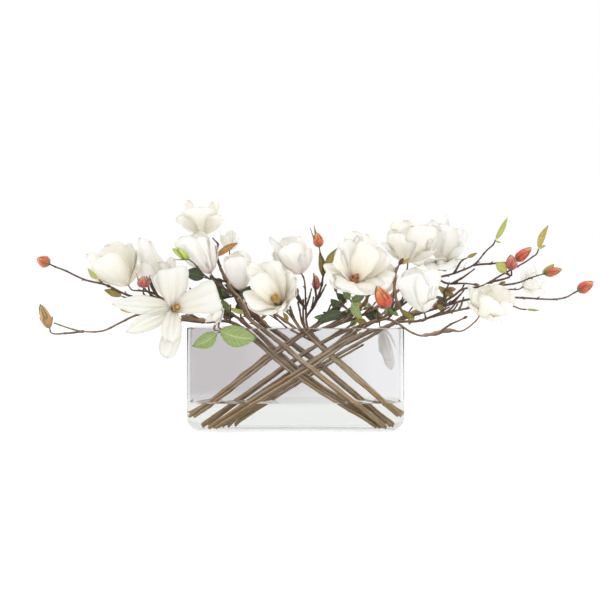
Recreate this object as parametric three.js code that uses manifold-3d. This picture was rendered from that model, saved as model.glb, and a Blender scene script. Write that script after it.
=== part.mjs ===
// Magnolia branches in a low rectangular glass vase with a little water, in millimetres, +Z up.
// X runs along the vase, Y away from the viewer, and the origin is the middle of the vase's foot.
// Thirteen cut branches stand on the vase's floor in two crossing sheaves and lean out over its rim.
// Each branch is one grown piece: its stem, its twigs and its smallest winter buds. The blooms, the
// coloured buds and the leaves are pieces of their own, each seated on the end of a twig.
import * as THREE from "three";
import { mergeVertices } from "three/addons/utils/BufferGeometryUtils.js";
import Module from "manifold-3d";

const wasm = await Module();
wasm.setup();

// Driving dimensions
const VASE_LENGTH = 356;
const VASE_DEPTH = 104;
const VASE_HEIGHT = 168;
const GLASS_THICKNESS = 4.5;
const VASE_FLOOR = 5;
const CORNER_RADIUS = 42;
const FOOT_RADIUS = 22;
const WATER_LEVEL = 47;
const SEAT_GAP = 0.3;
const STEM_RADIUS = 3.4;
const STEM_TIP_RADIUS = 1.6;
const TWIG_RADIUS = 1.9;
const TWIG_TIP_RADIUS = 1.3;
const STEM_STEP = 26;
const STEM_SIDES = 6;
const TWIG_SIDES = 5;
const NECK = 9;
const FOOT_HEIGHT = VASE_FLOOR + SEAT_GAP + 2.8;
const PETAL_THICKNESS = 2;
const BLADE_THICKNESS = 1.2;
const BLOOM_BASE_RADIUS = 3;
const PETAL_LOBES = 6;
const CLEFT_DEPTH = 0.28;

// The eye that the front elevation is seen from: level, and this far in front of the middle plane.
const EYE_X = 7.3;
const EYE_Z = 212.7;
const EYE_DISTANCE = 1375;

const COLOURS = {
  glass: 0xe3e4e2,
  water: 0xdcd9cf,
  bark: 0x8a7560,
  petal: 0xf8f4e6,
  bud: 0xc9683f,
  leaf: 0x8f9c5a,
};

// Blooms that still stand as a goblet: base and tip of the axis, the width of the mouth, and how far
// the petal tips turn out (flare over 1) or close in (under 1).
const GOBLETS = [
  { name: "bloom_1", base: [-276, 237, -30], tip: [-318, 292, -38], width: 74, flare: 1.0 },
  { name: "bloom_2", base: [-205, 226, 12], tip: [-230, 308, 14], width: 60, flare: 1.0 },
  { name: "bloom_4", base: [-154, 319, 22], tip: [-156, 375, 22], width: 62, flare: 0.95 },
  { name: "bloom_5", base: [-140, 257, -28], tip: [-179, 317, -34], width: 46, flare: 0.8 },
  { name: "bloom_6", base: [-109, 295, 60], tip: [-111, 327, 60], width: 32, flare: 0.8 },
  { name: "bloom_7", base: [-90, 228, -8], tip: [-99, 292, -14], width: 42, flare: 0.75 },
  { name: "bloom_8", base: [-24, 204, -26], tip: [-49, 234, -80], width: 84, flare: 1.1 },
  { name: "bloom_9", base: [10, 256, 8], tip: [-18, 316, 2], width: 60, flare: 0.9 },
  { name: "bloom_10", base: [96, 241, -20], tip: [108, 282, -66], width: 100, flare: 1.1 },
  { name: "bloom_11", base: [185, 274, 20], tip: [190, 341, 8], width: 80, flare: 0.95 },
  { name: "bloom_12", base: [248, 270, 66], tip: [248, 350, 66], width: 60, flare: 0.9 },
  { name: "bloom_13", base: [148, 223, 34], tip: [140, 274, 24], width: 54, flare: 0.9 },
  { name: "bloom_14", base: [212, 193, -56], tip: [192, 262, -64], width: 68, flare: 0.85 },
  { name: "bloom_15", base: [375, 234, 86], tip: [408, 251, 92], width: 44, flare: 1.0 },
  { name: "bloom_16", base: [303, 186, -62], tip: [336, 231, -70], width: 64, flare: 0.8 },
  { name: "bloom_17", base: [-121, 186, -54], tip: [-143, 193, -62], width: 28, flare: 0.8 },
  { name: "bloom_18", base: [141, 163, 69], tip: [161, 96, 69], width: 30, flare: 0.8 },
];

// The widest open bloom: a star of long petals round a short cone, facing the viewer.
const STAR = {
  name: "bloom_3",
  base: [-201, 198, -74],
  tip: [-206, 195, -104],
  coneRadius: 9,
  petals: [
    { tip: [-303, 208, -100], width: 34 },
    { tip: [-281, 160, -108], width: 30 },
    { tip: [-210, 146, -122], width: 30 },
    { tip: [-210, 117, -90], width: 36 },
    { tip: [-135, 239, -88], width: 46 },
    { tip: [-207, 265, -92], width: 54 },
    { tip: [-262, 236, -86], width: 34 },
  ],
};

// Coloured buds: base and tip of the axis, and the greatest width.
const BUDS = [
  { name: "bud_1", base: [-406, 272, -50], tip: [-427, 282, -50], width: 19 },
  { name: "bud_2", base: [-406, 167, -55], tip: [-421, 206, -55], width: 17 },
  { name: "bud_3", base: [-251, 233, -58], tip: [-251, 252, -60], width: 17 },
  { name: "bud_4", base: [-177, 280, -64], tip: [-203, 298, -66], width: 9 },
  { name: "bud_5", base: [39, 300, -10], tip: [34, 330, -10], width: 17 },
  { name: "bud_6", base: [34, 230, -18], tip: [34, 254, -20], width: 13 },
  { name: "bud_7", base: [152, 200, -84], tip: [134, 236, -98], width: 24 },
  { name: "bud_8", base: [356, 262, -24], tip: [356, 288, -26], width: 18 },
  { name: "bud_9", base: [363, 278, -2], tip: [390, 299, -2], width: 17 },
  { name: "bud_10", base: [411, 256, 18], tip: [440, 263, 18], width: 15 },
  { name: "bud_11", base: [466, 228, 4], tip: [492, 242, 4], width: 19 },
];

// Leaves: base and tip, the greatest width, and the way that the upper face looks.
const LEAVES = [
  { name: "leaf_1", base: [-325, 247, -80], tip: [-343, 264, -82], width: 12, faces: [0.2, -1, 0.3] },
  { name: "leaf_2", base: [-287, 219, -62], tip: [-315, 228, -62], width: 10, faces: [0, -0.6, 1] },
  { name: "leaf_3", base: [-263, 193, -62], tip: [-288, 196, -68], width: 8, faces: [0, -0.8, 1] },
  { name: "leaf_4", base: [330, 312, 8], tip: [348, 348, 8], width: 15, faces: [0.4, -1, 0] },
  { name: "leaf_5", base: [283, 282, -8], tip: [300, 290, -8], width: 9, faces: [0, -0.8, 1] },
  { name: "leaf_6", base: [401, 297, -12], tip: [417, 336, -12], width: 15, faces: [-0.3, -1, 0] },
  { name: "leaf_7", base: [381, 197, -12], tip: [402, 195, -12], width: 8, faces: [0, -0.6, 1] },
  { name: "leaf_8", base: [347, 258, -26], tip: [330, 275, -26], width: 18, faces: [0, -1, 0.2] },
  { name: "leaf_9", base: [-130, 158, -60], tip: [-170, 136, -64], width: 26, faces: [0, -1, 0.4] },
  { name: "leaf_10", base: [-125, 162, -61], tip: [-65, 149, -62], width: 36, faces: [0, -1, 0.3] },
  { name: "leaf_11", base: [77, 193, -44], tip: [35, 175, -50], width: 18, faces: [0, -1, 0.5] },
  { name: "leaf_12", base: [50, 261, -12], tip: [70, 299, -12], width: 13, faces: [0.3, -1, 0] },
  { name: "leaf_13", base: [93, 208, -40], tip: [110, 181, -46], width: 15, faces: [0, -1, 0.2] },
  { name: "leaf_14", base: [-151, 246, -50], tip: [-181, 250, -50], width: 18, faces: [0, -0.8, 1] },
  { name: "leaf_15", base: [-116, 232, 8], tip: [-144, 252, 14], width: 20, faces: [0, -1, 0.6] },
];

// Branches: the foot's place in the vase, the route of the stem and the piece that it carries. A twig
// forks from the stem, or from an earlier twig, at the point nearest to its route's first point.
const BRANCHES = [
  {
    name: "branch_left_1",
    foot: [145, 0, FOOT_HEIGHT],
    route: [[17, 89, 0], [-79, 171, 0], [-116, 195, -8], [-158, 206, -20], [-215, 213, -42],
      [-275, 220, -60], [-308, 236, -62], [-346, 246, -58], [-385, 263, -52]],
    carries: "bud_1",
    twigs: [
      { route: [[-308, 236, -62]], carries: "leaf_1" },
      { route: [[-268, 219, -60]], carries: "leaf_2" },
      { route: [[-215, 214, -44], [-240, 226, -42], [-260, 228, -34]], carries: "bloom_1" },
      { route: [[-245, 217, -52]], carries: "bud_3" },
    ],
  },
  {
    name: "branch_left_2",
    foot: [138, -18, FOOT_HEIGHT],
    route: [[9, 86, -18], [-98, 173, -20], [-121, 178, -36], [-148, 176, -38], [-191, 181, -40],
      [-232, 193, -48], [-262, 188, -55], [-290, 175, -58], [-318, 162, -60], [-357, 162, -61],
      [-399, 175, -62]],
    twigs: [
      { route: [[-350, 160, -60], [-376, 158, -56]], carries: "bud_2" },
      { route: [[-245, 190, -50]], carries: "leaf_3" },
      { route: [[-150, 176, -38], [-180, 192, -54]], carries: "bloom_3" },
      { route: [[-106, 174, -26]], carries: "bloom_17" },
      { route: [[-121, 178, -36], [-124, 178, -50], [-127, 168, -59]], carries: "leaf_9" },
      { route: [[-124, 178, -50], [-129, 176, -58]], carries: "leaf_10" },
    ],
  },
  {
    name: "branch_left_3",
    foot: [146, -28, FOOT_HEIGHT],
    route: [[25, 102, -38], [-21, 140, -39], [-55, 166, -40], [-74, 182, -36], [-88, 208, -24],
      [-107, 232, -12], [-120, 257, 0], [-130, 284, 10], [-140, 302, 16]],
    carries: "bloom_4",
    twigs: [
      { route: [[-112, 242, -6]], carries: "bloom_5" },
      { route: [[-95, 216, -20], [-128, 239, -44], [-151, 254, -58]], carries: "bud_4" },
      { route: [[-132, 242, -46]], carries: "leaf_14" },
      { route: [[-98, 220, -18], [-120, 216, -6], [-158, 214, 4], [-184, 214, 10]], carries: "bloom_2" },
      { route: [[-98, 220, -18], [-104, 224, -4]], carries: "leaf_15" },
      { route: [[-125, 268, 2], [-132, 284, 0], [-131, 296, -2]], bud: 4 },
      { route: [[-134, 292, 12], [-128, 304, 2], [-136, 314, -6]], bud: 1.5 },
    ],
  },
  {
    name: "branch_left_4",
    foot: [158, 19, FOOT_HEIGHT],
    route: [[42, 106, 19], [-46, 170, 19], [-62, 184, 10], [-80, 197, -2], [-86, 208, -6]],
    carries: "bloom_7",
    twigs: [{ route: [[-62, 184, 10], [-85, 236, 34], [-100, 268, 52]], carries: "bloom_6" }],
  },
  {
    name: "branch_left_5",
    foot: [169.5, -18, 24],
    route: [[144, 48, -18], [66, 113, -18], [7, 167, -18], [-8, 186, -18]],
    carries: "bloom_8",
    twigs: [],
  },
  {
    name: "branch_left_6",
    foot: [169.5, 15, 24],
    route: [[110, 80, 19], [22, 163, 19], [17, 196, 18], [16, 229, 14]],
    carries: "bloom_9",
    twigs: [
      { route: [[20, 184, 18], [36, 214, 4], [44, 246, -8], [45, 275, -12]], carries: "bud_5" },
      { route: [[42, 236, -6]], carries: "leaf_12" },
      { route: [[30, 204, 8]], carries: "bud_6" },
      { route: [[17, 198, 18], [7, 213, 6], [2, 228, -4]], bud: 4 },
    ],
  },
  {
    name: "branch_right_1",
    foot: [-170, -8, 22],
    route: [[-21, 135, -8], [37, 176, -8], [70, 206, -10], [88, 224, -10]],
    carries: "bloom_10",
    twigs: [
      { route: [[52, 190, -9], [66, 200, -28], [78, 202, -42]], carries: "leaf_11" },
      { route: [[76, 211, -10], [86, 216, -28]], carries: "leaf_13" },
    ],
  },
  {
    name: "branch_right_2",
    foot: [-167, 26, 24],
    route: [[-21, 136, 30], [73, 173, 31], [126, 195, 26], [154, 216, 24], [185, 241, 36],
      [215, 252, 52], [238, 262, 62]],
    carries: "bloom_12",
    twigs: [
      { route: [[178, 236, 32]], carries: "bloom_11" },
      { route: [[140, 205, 25]], carries: "bloom_13" },
      { route: [[104, 186, 28], [122, 190, 48], [138, 180, 66]], carries: "bloom_18" },
    ],
  },
  {
    name: "branch_right_3",
    foot: [-128, -8, FOOT_HEIGHT],
    route: [[-55, 46, -8], [14, 101, -8], [73, 143, -8], [106, 163, -12], [131, 177, -28],
      [152, 181, -45], [169, 174, -58], [190, 160, -64], [207, 154, -62], [228, 157, -58],
      [250, 162, -58], [275, 162, -60]],
    carries: "bloom_16",
    twigs: [
      { route: [[152, 181, -45], [158, 188, -62]], carries: "bud_7" },
      { route: [[236, 158, -58], [256, 172, -70], [280, 184, -76]], bud: 2.5 },
    ],
  },
  {
    name: "branch_right_4",
    foot: [-112, 8, FOOT_HEIGHT],
    route: [[14, 88, 8], [88, 131, 4], [128, 153, -2], [148, 167, -8], [167, 176, -12],
      [202, 178, -30], [228, 186, -36], [250, 191, -30], [286, 200, -20], [321, 204, -8],
      [360, 202, -12]],
    carries: "leaf_7",
    twigs: [{ route: [[206, 178, -35], [214, 180, -50]], carries: "bloom_14" }],
  },
  {
    name: "branch_right_5",
    foot: [-134, 8, FOOT_HEIGHT],
    route: [[14, 106, 8], [93, 143, 10], [146, 167, 12], [185, 184, 12], [222, 196, 10],
      [250, 204, 6], [286, 214, 2], [321, 218, 0], [381, 216, 2], [430, 214, 4], [448, 218, 4]],
    carries: "bud_11",
    twigs: [
      { route: [[290, 214, 2], [304, 226, 12], [331, 235, 20], [369, 242, 22], [390, 250, 20]],
        carries: "bud_10" },
      { route: [[322, 233, 18], [337, 228, 45], [352, 230, 68]], carries: "bloom_15" },
      { route: [[331, 235, 20], [341, 240, 12]], bud: 4 },
    ],
  },
  {
    name: "branch_right_6",
    foot: [-140, -28, FOOT_HEIGHT],
    route: [[14, 101, -28], [90, 148, -28], [146, 168, -28], [187, 190, -24], [217, 201, -18],
      [240, 209, -14], [260, 219, -12], [275, 230, -12], [311, 237, -12], [341, 255, -14],
      [377, 274, -14], [391, 284, -12]],
    carries: "leaf_6",
    twigs: [
      { route: [[346, 258, -14]], carries: "bud_8" },
      { route: [[320, 242, -12], [346, 248, -24]], carries: "leaf_8" },
      { route: [[180, 186, -25], [166, 214, -38], [163, 233, -38], [166, 262, -38], [174, 276, -38]],
        bud: 4 },
      { route: [[246, 212, -13], [246, 228, -16], [256, 230, -18]], bud: 5 },
    ],
  },
  {
    name: "branch_right_7",
    foot: [-152, 8, FOOT_HEIGHT],
    route: [[14, 124, 8], [93, 165, 10], [146, 185, 8], [181, 208, 6], [209, 231, 4],
      [229, 247, 2], [266, 258, 2], [294, 271, 6], [317, 296, 8]],
    carries: "leaf_4",
    twigs: [
      { route: [[262, 257, 2]], carries: "leaf_5" },
      { route: [[294, 271, 6], [325, 273, 4], [348, 274, 0]], carries: "bud_9" },
      { route: [[232, 248, 2], [250, 240, -2], [281, 240, -2], [298, 238, 2]], bud: 3 },
    ],
  },
];

// A point read off the front elevation as [across, up, depth]. Across and up are its place against the
// middle plane, and depth moves it along the line of sight.
function seen([across, up, depth]) {
  const share = (EYE_DISTANCE + depth) / EYE_DISTANCE;
  const x = EYE_X + (across - EYE_X) * share;
  const z = EYE_Z + (up - EYE_Z) * share;
  return new THREE.Vector3(x, depth, z);
}

// The geometry with its shared vertices merged and the faces that collapsed at an axis left out.
function closed(geometry) {
  const bare = new THREE.BufferGeometry();
  bare.setAttribute("position", geometry.getAttribute("position"));
  bare.setIndex(geometry.index);
  const merged = mergeVertices(bare, 1e-3);
  const corners = merged.index.array;
  const kept = [];
  for (let i = 0; i < corners.length; i += 3) {
    const [a, b, c] = corners.subarray(i, i + 3);
    if (a !== b && b !== c && c !== a) kept.push(a, b, c);
  }
  merged.setIndex(kept);
  return merged;
}

function solidFrom(geometry) {
  const merged = closed(geometry);
  const mesh = new wasm.Mesh({
    numProp: 3,
    vertProperties: new Float32Array(merged.getAttribute("position").array),
    triVerts: new Uint32Array(merged.index.array),
  });
  return new wasm.Manifold(mesh);
}

function geometryFrom(solid) {
  const mesh = solid.getMesh();
  const geometry = new THREE.BufferGeometry();
  geometry.setAttribute("position", new THREE.BufferAttribute(mesh.vertProperties, 3));
  geometry.setIndex(new THREE.BufferAttribute(mesh.triVerts, 1));
  return geometry;
}

function piece(name, geometry, colour, roughness) {
  const material = new THREE.MeshStandardMaterial({ color: colour, roughness, metalness: 0 });
  const mesh = new THREE.Mesh(geometry, material);
  mesh.name = name;
  return mesh;
}

// Moves every vertex of a geometry to where place(x, y, z) puts it.
function reshape(geometry, place) {
  const position = geometry.getAttribute("position");
  for (let i = 0; i < position.count; i += 1) {
    const moved = place(position.getX(i), position.getY(i), position.getZ(i));
    position.setXYZ(i, moved.x, moved.y, moved.z);
  }
  return geometry;
}

// Vase and water

// A rounded rectangle at one height, set in from the vase's outside by inset.
function ring(inset, height) {
  const corner = CORNER_RADIUS - inset;
  const stepsPerCorner = 6;
  const points = [];
  for (const [signX, signY, turn] of [[1, 1, 0], [-1, 1, 1], [-1, -1, 2], [1, -1, 3]]) {
    for (let step = 0; step <= stepsPerCorner; step += 1) {
      const angle = (turn + step / stepsPerCorner) * (Math.PI / 2);
      const x = signX * (VASE_LENGTH / 2 - CORNER_RADIUS) + corner * Math.cos(angle);
      const y = signY * (VASE_DEPTH / 2 - CORNER_RADIUS) + corner * Math.sin(angle);
      points.push([x, y, height]);
    }
  }
  return points;
}

// A closed skin through the rings in turn, from the middle of the first to the middle of the last.
function loft(rings) {
  const count = rings[0].length;
  const positions = [...rings.flat(2), 0, 0, rings[0][0][2], 0, 0, rings.at(-1)[0][2]];
  const firstMiddle = rings.length * count;
  const lastMiddle = firstMiddle + 1;
  const lastRing = (rings.length - 1) * count;
  const corners = [];
  for (let side = 0; side < count; side += 1) {
    const next = (side + 1) % count;
    corners.push(firstMiddle, next, side);
    corners.push(lastMiddle, lastRing + side, lastRing + next);
    for (let level = 0; level < rings.length - 1; level += 1) {
      const low = level * count;
      const high = low + count;
      corners.push(low + side, low + next, high + next);
      corners.push(low + side, high + next, high + side);
    }
  }
  const geometry = new THREE.BufferGeometry();
  geometry.setAttribute("position", new THREE.Float32BufferAttribute(positions, 3));
  geometry.setIndex(corners);
  return geometry;
}

// Rings up the rounded foot, from the flat bottom to the upright wall.
function footRings(inset, bottom, radius) {
  const steps = 4;
  const rings = [];
  for (let step = 0; step <= steps; step += 1) {
    const angle = (step / steps) * (Math.PI / 2);
    rings.push(ring(inset + radius * (1 - Math.sin(angle)), bottom + radius * (1 - Math.cos(angle))));
  }
  return rings;
}

function vaseGeometry() {
  const outside = footRings(0, 0, FOOT_RADIUS);
  const inside = footRings(GLASS_THICKNESS, VASE_FLOOR, FOOT_RADIUS - GLASS_THICKNESS);
  const rim = [ring(0, VASE_HEIGHT), ring(GLASS_THICKNESS, VASE_HEIGHT)];
  return loft([...outside, ...rim, ...inside.reverse()]);
}

// The water fills the vase's foot round the stems, a seat's gap clear of both.
function waterSolid(stems) {
  const inset = GLASS_THICKNESS + SEAT_GAP;
  const radius = FOOT_RADIUS - inset;
  const body = footRings(inset, VASE_FLOOR + SEAT_GAP, radius);
  let water = solidFrom(loft([...body, ring(inset, WATER_LEVEL)]));
  for (const stem of stems) water = water.subtract(stem);
  return water;
}

// Branches

// A round rod along a curve, thinning from its foot to its tip.
function rod(curve, footRadius, tipRadius, sides) {
  const steps = Math.max(2, Math.ceil(curve.getLength() / STEM_STEP));
  const { normals, binormals } = curve.computeFrenetFrames(steps, false);
  const place = (x, y, z) => {
    const step = Math.round((y + 0.5) * steps);
    const radius = THREE.MathUtils.lerp(footRadius, tipRadius, step / steps);
    const point = curve.getPointAt(step / steps);
    point.addScaledVector(normals[step], x * radius);
    return point.addScaledVector(binormals[step], -z * radius);
  };
  return reshape(new THREE.CylinderGeometry(1, 1, 1, sides, steps), place);
}

function curveThrough(points) {
  return new THREE.CatmullRomCurve3(points, false, "centripetal");
}

// The point of the curves grown so far that lies nearest to a place.
function nearestOn(curves, place) {
  const points = curves.flatMap((curve) => curve.getSpacedPoints(100).slice(0, 98));
  const distance = (point) => point.distanceToSquared(place);
  return points.reduce((best, point) => (distance(point) < distance(best) ? point : best));
}

// The last two points of a twig that runs straight into the base of what it carries.
function neck(head) {
  const base = seen(head.base);
  const axis = seen(head.tip).sub(base).normalize();
  return [base.clone().addScaledVector(axis, -NECK), base.clone().addScaledVector(axis, -SEAT_GAP)];
}

function winterBud(curve, radius) {
  const end = curve.getPointAt(1);
  const along = curve.getTangentAt(1);
  const turn = new THREE.Quaternion().setFromUnitVectors(new THREE.Vector3(0, 1, 0), along);
  const bud = new THREE.SphereGeometry(radius, 6, 4);
  return bud.scale(1, 1.7, 1).applyQuaternion(turn).translate(end.x, end.y, end.z);
}

function ending(grown, heads) {
  return grown.carries ? neck(heads.get(grown.carries)) : [];
}

function stemCurve(branch, heads) {
  const foot = new THREE.Vector3(...branch.foot);
  return curveThrough([foot, ...branch.route.map(seen), ...ending(branch, heads)]);
}

function branchSolid(branch, heads) {
  const stem = stemCurve(branch, heads);
  const curves = [stem];
  let solid = solidFrom(rod(stem, STEM_RADIUS, STEM_TIP_RADIUS, STEM_SIDES));
  for (const twig of branch.twigs) {
    const [fork, ...rest] = twig.route.map(seen);
    const curve = curveThrough([nearestOn(curves, fork), ...rest, ...ending(twig, heads)]);
    curves.push(curve);
    solid = solid.add(solidFrom(rod(curve, TWIG_RADIUS, TWIG_TIP_RADIUS, TWIG_SIDES)));
    if (twig.bud) solid = solid.add(solidFrom(winterBud(curve, twig.bud)));
  }
  return solid;
}

// The room that the water leaves for a stem: the stem itself, a little longer at its foot and thicker.
function stemRoom(branch, heads) {
  const stem = stemCurve(branch, heads);
  const backwards = stem.getTangentAt(0).multiplyScalar(-SEAT_GAP);
  stem.points[0].add(backwards);
  return solidFrom(rod(stem, STEM_RADIUS + 2 * SEAT_GAP, STEM_TIP_RADIUS + 2 * SEAT_GAP, STEM_SIDES));
}

// Blooms, buds and leaves

// Stands a geometry grown along +Y on a base, pointing at a tip.
function aim(mesh, base, tip) {
  const axis = tip.clone().sub(base).normalize();
  mesh.position.copy(base);
  mesh.quaternion.setFromUnitVectors(new THREE.Vector3(0, 1, 0), axis);
  return mesh;
}

// A goblet of petals: a turned cup whose rim is notched between the petal tips.
function goblet(length, width, flare) {
  const radius = width / 2;
  const outside = [[0.6, 0.17], [1, 0.55], [flare, 1]];
  const inside = [[flare, 1], [0.94, 0.55]];
  const wall = (thickness) => ([share, height]) =>
    new THREE.Vector2(share * radius - thickness, height * length);
  const profile = [
    new THREE.Vector2(0, 0),
    new THREE.Vector2(BLOOM_BASE_RADIUS, 0),
    ...outside.map(wall(0)),
    ...inside.map(wall(PETAL_THICKNESS)),
    new THREE.Vector2(0, 0.26 * length),
  ];
  const notch = (x, y, z) => {
    const lobe = Math.cos(PETAL_LOBES * Math.atan2(z, x));
    const rise = Math.max(0, y / length - 0.4) / 0.6;
    const cleft = 1 - CLEFT_DEPTH * rise * (0.5 - 0.5 * lobe);
    return new THREE.Vector3(x, y * cleft, z);
  };
  return reshape(closed(new THREE.LatheGeometry(profile, 2 * PETAL_LOBES)), notch);
}

function budGeometry(length, width) {
  const outline = [[0, 0], [0.3, 0], [0.85, 0.2], [1, 0.45], [0.75, 0.75], [0.12, 1], [0, 1]];
  const profile = outline.map(([share, height]) => new THREE.Vector2((share * width) / 2, height * length));
  return closed(new THREE.LatheGeometry(profile, 8));
}

// A thin blade from base to tip: widest at its middle, bowed along its length, and cupped across.
function blade(base, tip, faces, width, thickness, bow) {
  const segments = 5;
  const length = base.distanceTo(tip);
  const along = tip.clone().sub(base).normalize();
  const across = along.clone().cross(faces).normalize();
  const up = across.clone().cross(along).normalize();
  const place = (x, y, z) => {
    const share = y + 0.5;
    const swell = 0.08 + 0.92 * Math.sin(Math.PI * Math.min(1, share * 0.98 + 0.01)) ** 0.8;
    const side = x * width * swell;
    const rise = bow * length * Math.sin(Math.PI * share) + bow * 2 * Math.abs(side);
    return base
      .clone()
      .addScaledVector(along, share * length)
      .addScaledVector(across, side)
      .addScaledVector(up, z * thickness - rise);
  };
  return closed(reshape(new THREE.BoxGeometry(1, 1, 1, 2, segments, 1), place));
}

function starSolid() {
  const base = seen(STAR.base);
  const axis = seen(STAR.tip).sub(base);
  const turn = new THREE.Quaternion().setFromUnitVectors(
    new THREE.Vector3(0, 1, 0),
    axis.clone().normalize(),
  );
  const cone = budGeometry(axis.length(), STAR.coneRadius * 2);
  cone.applyQuaternion(turn).translate(base.x, base.y, base.z);
  let star = solidFrom(cone);
  const heart = base.clone().addScaledVector(axis, 0.3);
  for (const petal of STAR.petals) {
    const geometry = blade(heart, seen(petal.tip), axis, petal.width, PETAL_THICKNESS, 0.06);
    star = star.add(solidFrom(geometry));
  }
  return star;
}

function leafGeometry(leaf) {
  const faces = new THREE.Vector3(...leaf.faces);
  return blade(seen(leaf.base), seen(leaf.tip), faces, leaf.width, BLADE_THICKNESS, 0.05);
}

// Assembly

const heads = new Map([...GOBLETS, STAR, ...BUDS, ...LEAVES].map((head) => [head.name, head]));
const arrangement = new THREE.Group();
arrangement.name = "magnolia_branches_in_vase";

arrangement.add(piece("vase", vaseGeometry(), COLOURS.glass, 0.05));
const water = waterSolid(BRANCHES.map((branch) => stemRoom(branch, heads)));
arrangement.add(piece("water", geometryFrom(water), COLOURS.water, 0.05));

for (const branch of BRANCHES) {
  arrangement.add(piece(branch.name, geometryFrom(branchSolid(branch, heads)), COLOURS.bark, 0.8));
}

arrangement.add(piece(STAR.name, geometryFrom(starSolid()), COLOURS.petal, 0.6));

for (const bloom of GOBLETS) {
  const [base, tip] = [seen(bloom.base), seen(bloom.tip)];
  const geometry = goblet(base.distanceTo(tip), bloom.width, bloom.flare);
  arrangement.add(aim(piece(bloom.name, geometry, COLOURS.petal, 0.6), base, tip));
}

for (const bud of BUDS) {
  const [base, tip] = [seen(bud.base), seen(bud.tip)];
  const geometry = budGeometry(base.distanceTo(tip), bud.width);
  arrangement.add(aim(piece(bud.name, geometry, COLOURS.bud, 0.5), base, tip));
}

for (const leaf of LEAVES) {
  arrangement.add(piece(leaf.name, leafGeometry(leaf), COLOURS.leaf, 0.5));
}

export default arrangement;
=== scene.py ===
"""Magnolia branches in a low glass vase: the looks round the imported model, in metres, +Z up.

X runs along the vase, Y away from the viewer, and the origin is the middle of the vase's foot. The
tables hold millimetres. A piece that replaces a node stands where the node stands, and all ride on root.
"""
import math
import random

import bpy
import numpy as np
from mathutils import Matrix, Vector


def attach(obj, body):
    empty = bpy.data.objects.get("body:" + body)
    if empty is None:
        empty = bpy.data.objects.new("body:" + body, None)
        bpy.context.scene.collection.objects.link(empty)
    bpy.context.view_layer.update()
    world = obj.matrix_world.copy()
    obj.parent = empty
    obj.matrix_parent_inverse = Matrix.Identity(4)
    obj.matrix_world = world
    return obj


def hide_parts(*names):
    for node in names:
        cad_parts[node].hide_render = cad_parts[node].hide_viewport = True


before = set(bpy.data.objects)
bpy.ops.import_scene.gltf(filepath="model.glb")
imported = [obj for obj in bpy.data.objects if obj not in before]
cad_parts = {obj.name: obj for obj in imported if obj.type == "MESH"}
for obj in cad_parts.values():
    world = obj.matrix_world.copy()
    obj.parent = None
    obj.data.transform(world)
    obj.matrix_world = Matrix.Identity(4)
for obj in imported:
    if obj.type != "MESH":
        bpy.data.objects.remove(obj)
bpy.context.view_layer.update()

MM = 0.001

# The vase, its water and the branches' places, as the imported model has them
VASE_LENGTH = 356
VASE_DEPTH = 104
VASE_HEIGHT = 168
GLASS_THICKNESS = 4.5
VASE_FLOOR = 5
CORNER_RADIUS = 42
FOOT_RADIUS = 22
WATER_LEVEL = 47
SEAT_GAP = 0.3
FOOT_HEIGHT = 8.1
NECK = 9

# The shoots' radii at foot and tip, before their nodes swell and their ridges stand proud
STEM_RADIUS = 3.2
STEM_TIP_RADIUS = 1.15
TWIG_RADIUS = 2.0
TWIG_TIP_RADIUS = 0.95

# The eye that the front elevation is seen from: level, and this far in front of the middle plane
EYE_X = 7.3
EYE_Z = 212.7
EYE_DISTANCE = 1375
LENS_MM = 50
SENSOR_MM = 36


def unit(vector):
    return vector / np.linalg.norm(vector)


def seen(place):
    """A point read off the front elevation as (across, up, depth): depth moves it along the line of sight."""
    across, up, depth = place
    share = (EYE_DISTANCE + depth) / EYE_DISTANCE
    return np.array([EYE_X + (across - EYE_X) * share, depth, EYE_Z + (up - EYE_Z) * share], float)


def stem(foot, head, route, twigs):
    """A branch: the foot's place in the vase, what the stem carries, its route, and its twigs."""
    return {"foot": foot, "head": head, "route": route, "twigs": twigs}


def twig(head, *route):
    """A side shoot that carries a head. It forks at the point nearest to its route's first point."""
    return {"head": head, "route": route}


def shoot(radius, *route):
    """A side shoot that ends in a winter bud of this radius."""
    return {"head": None, "route": route, "bud": radius}


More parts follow.
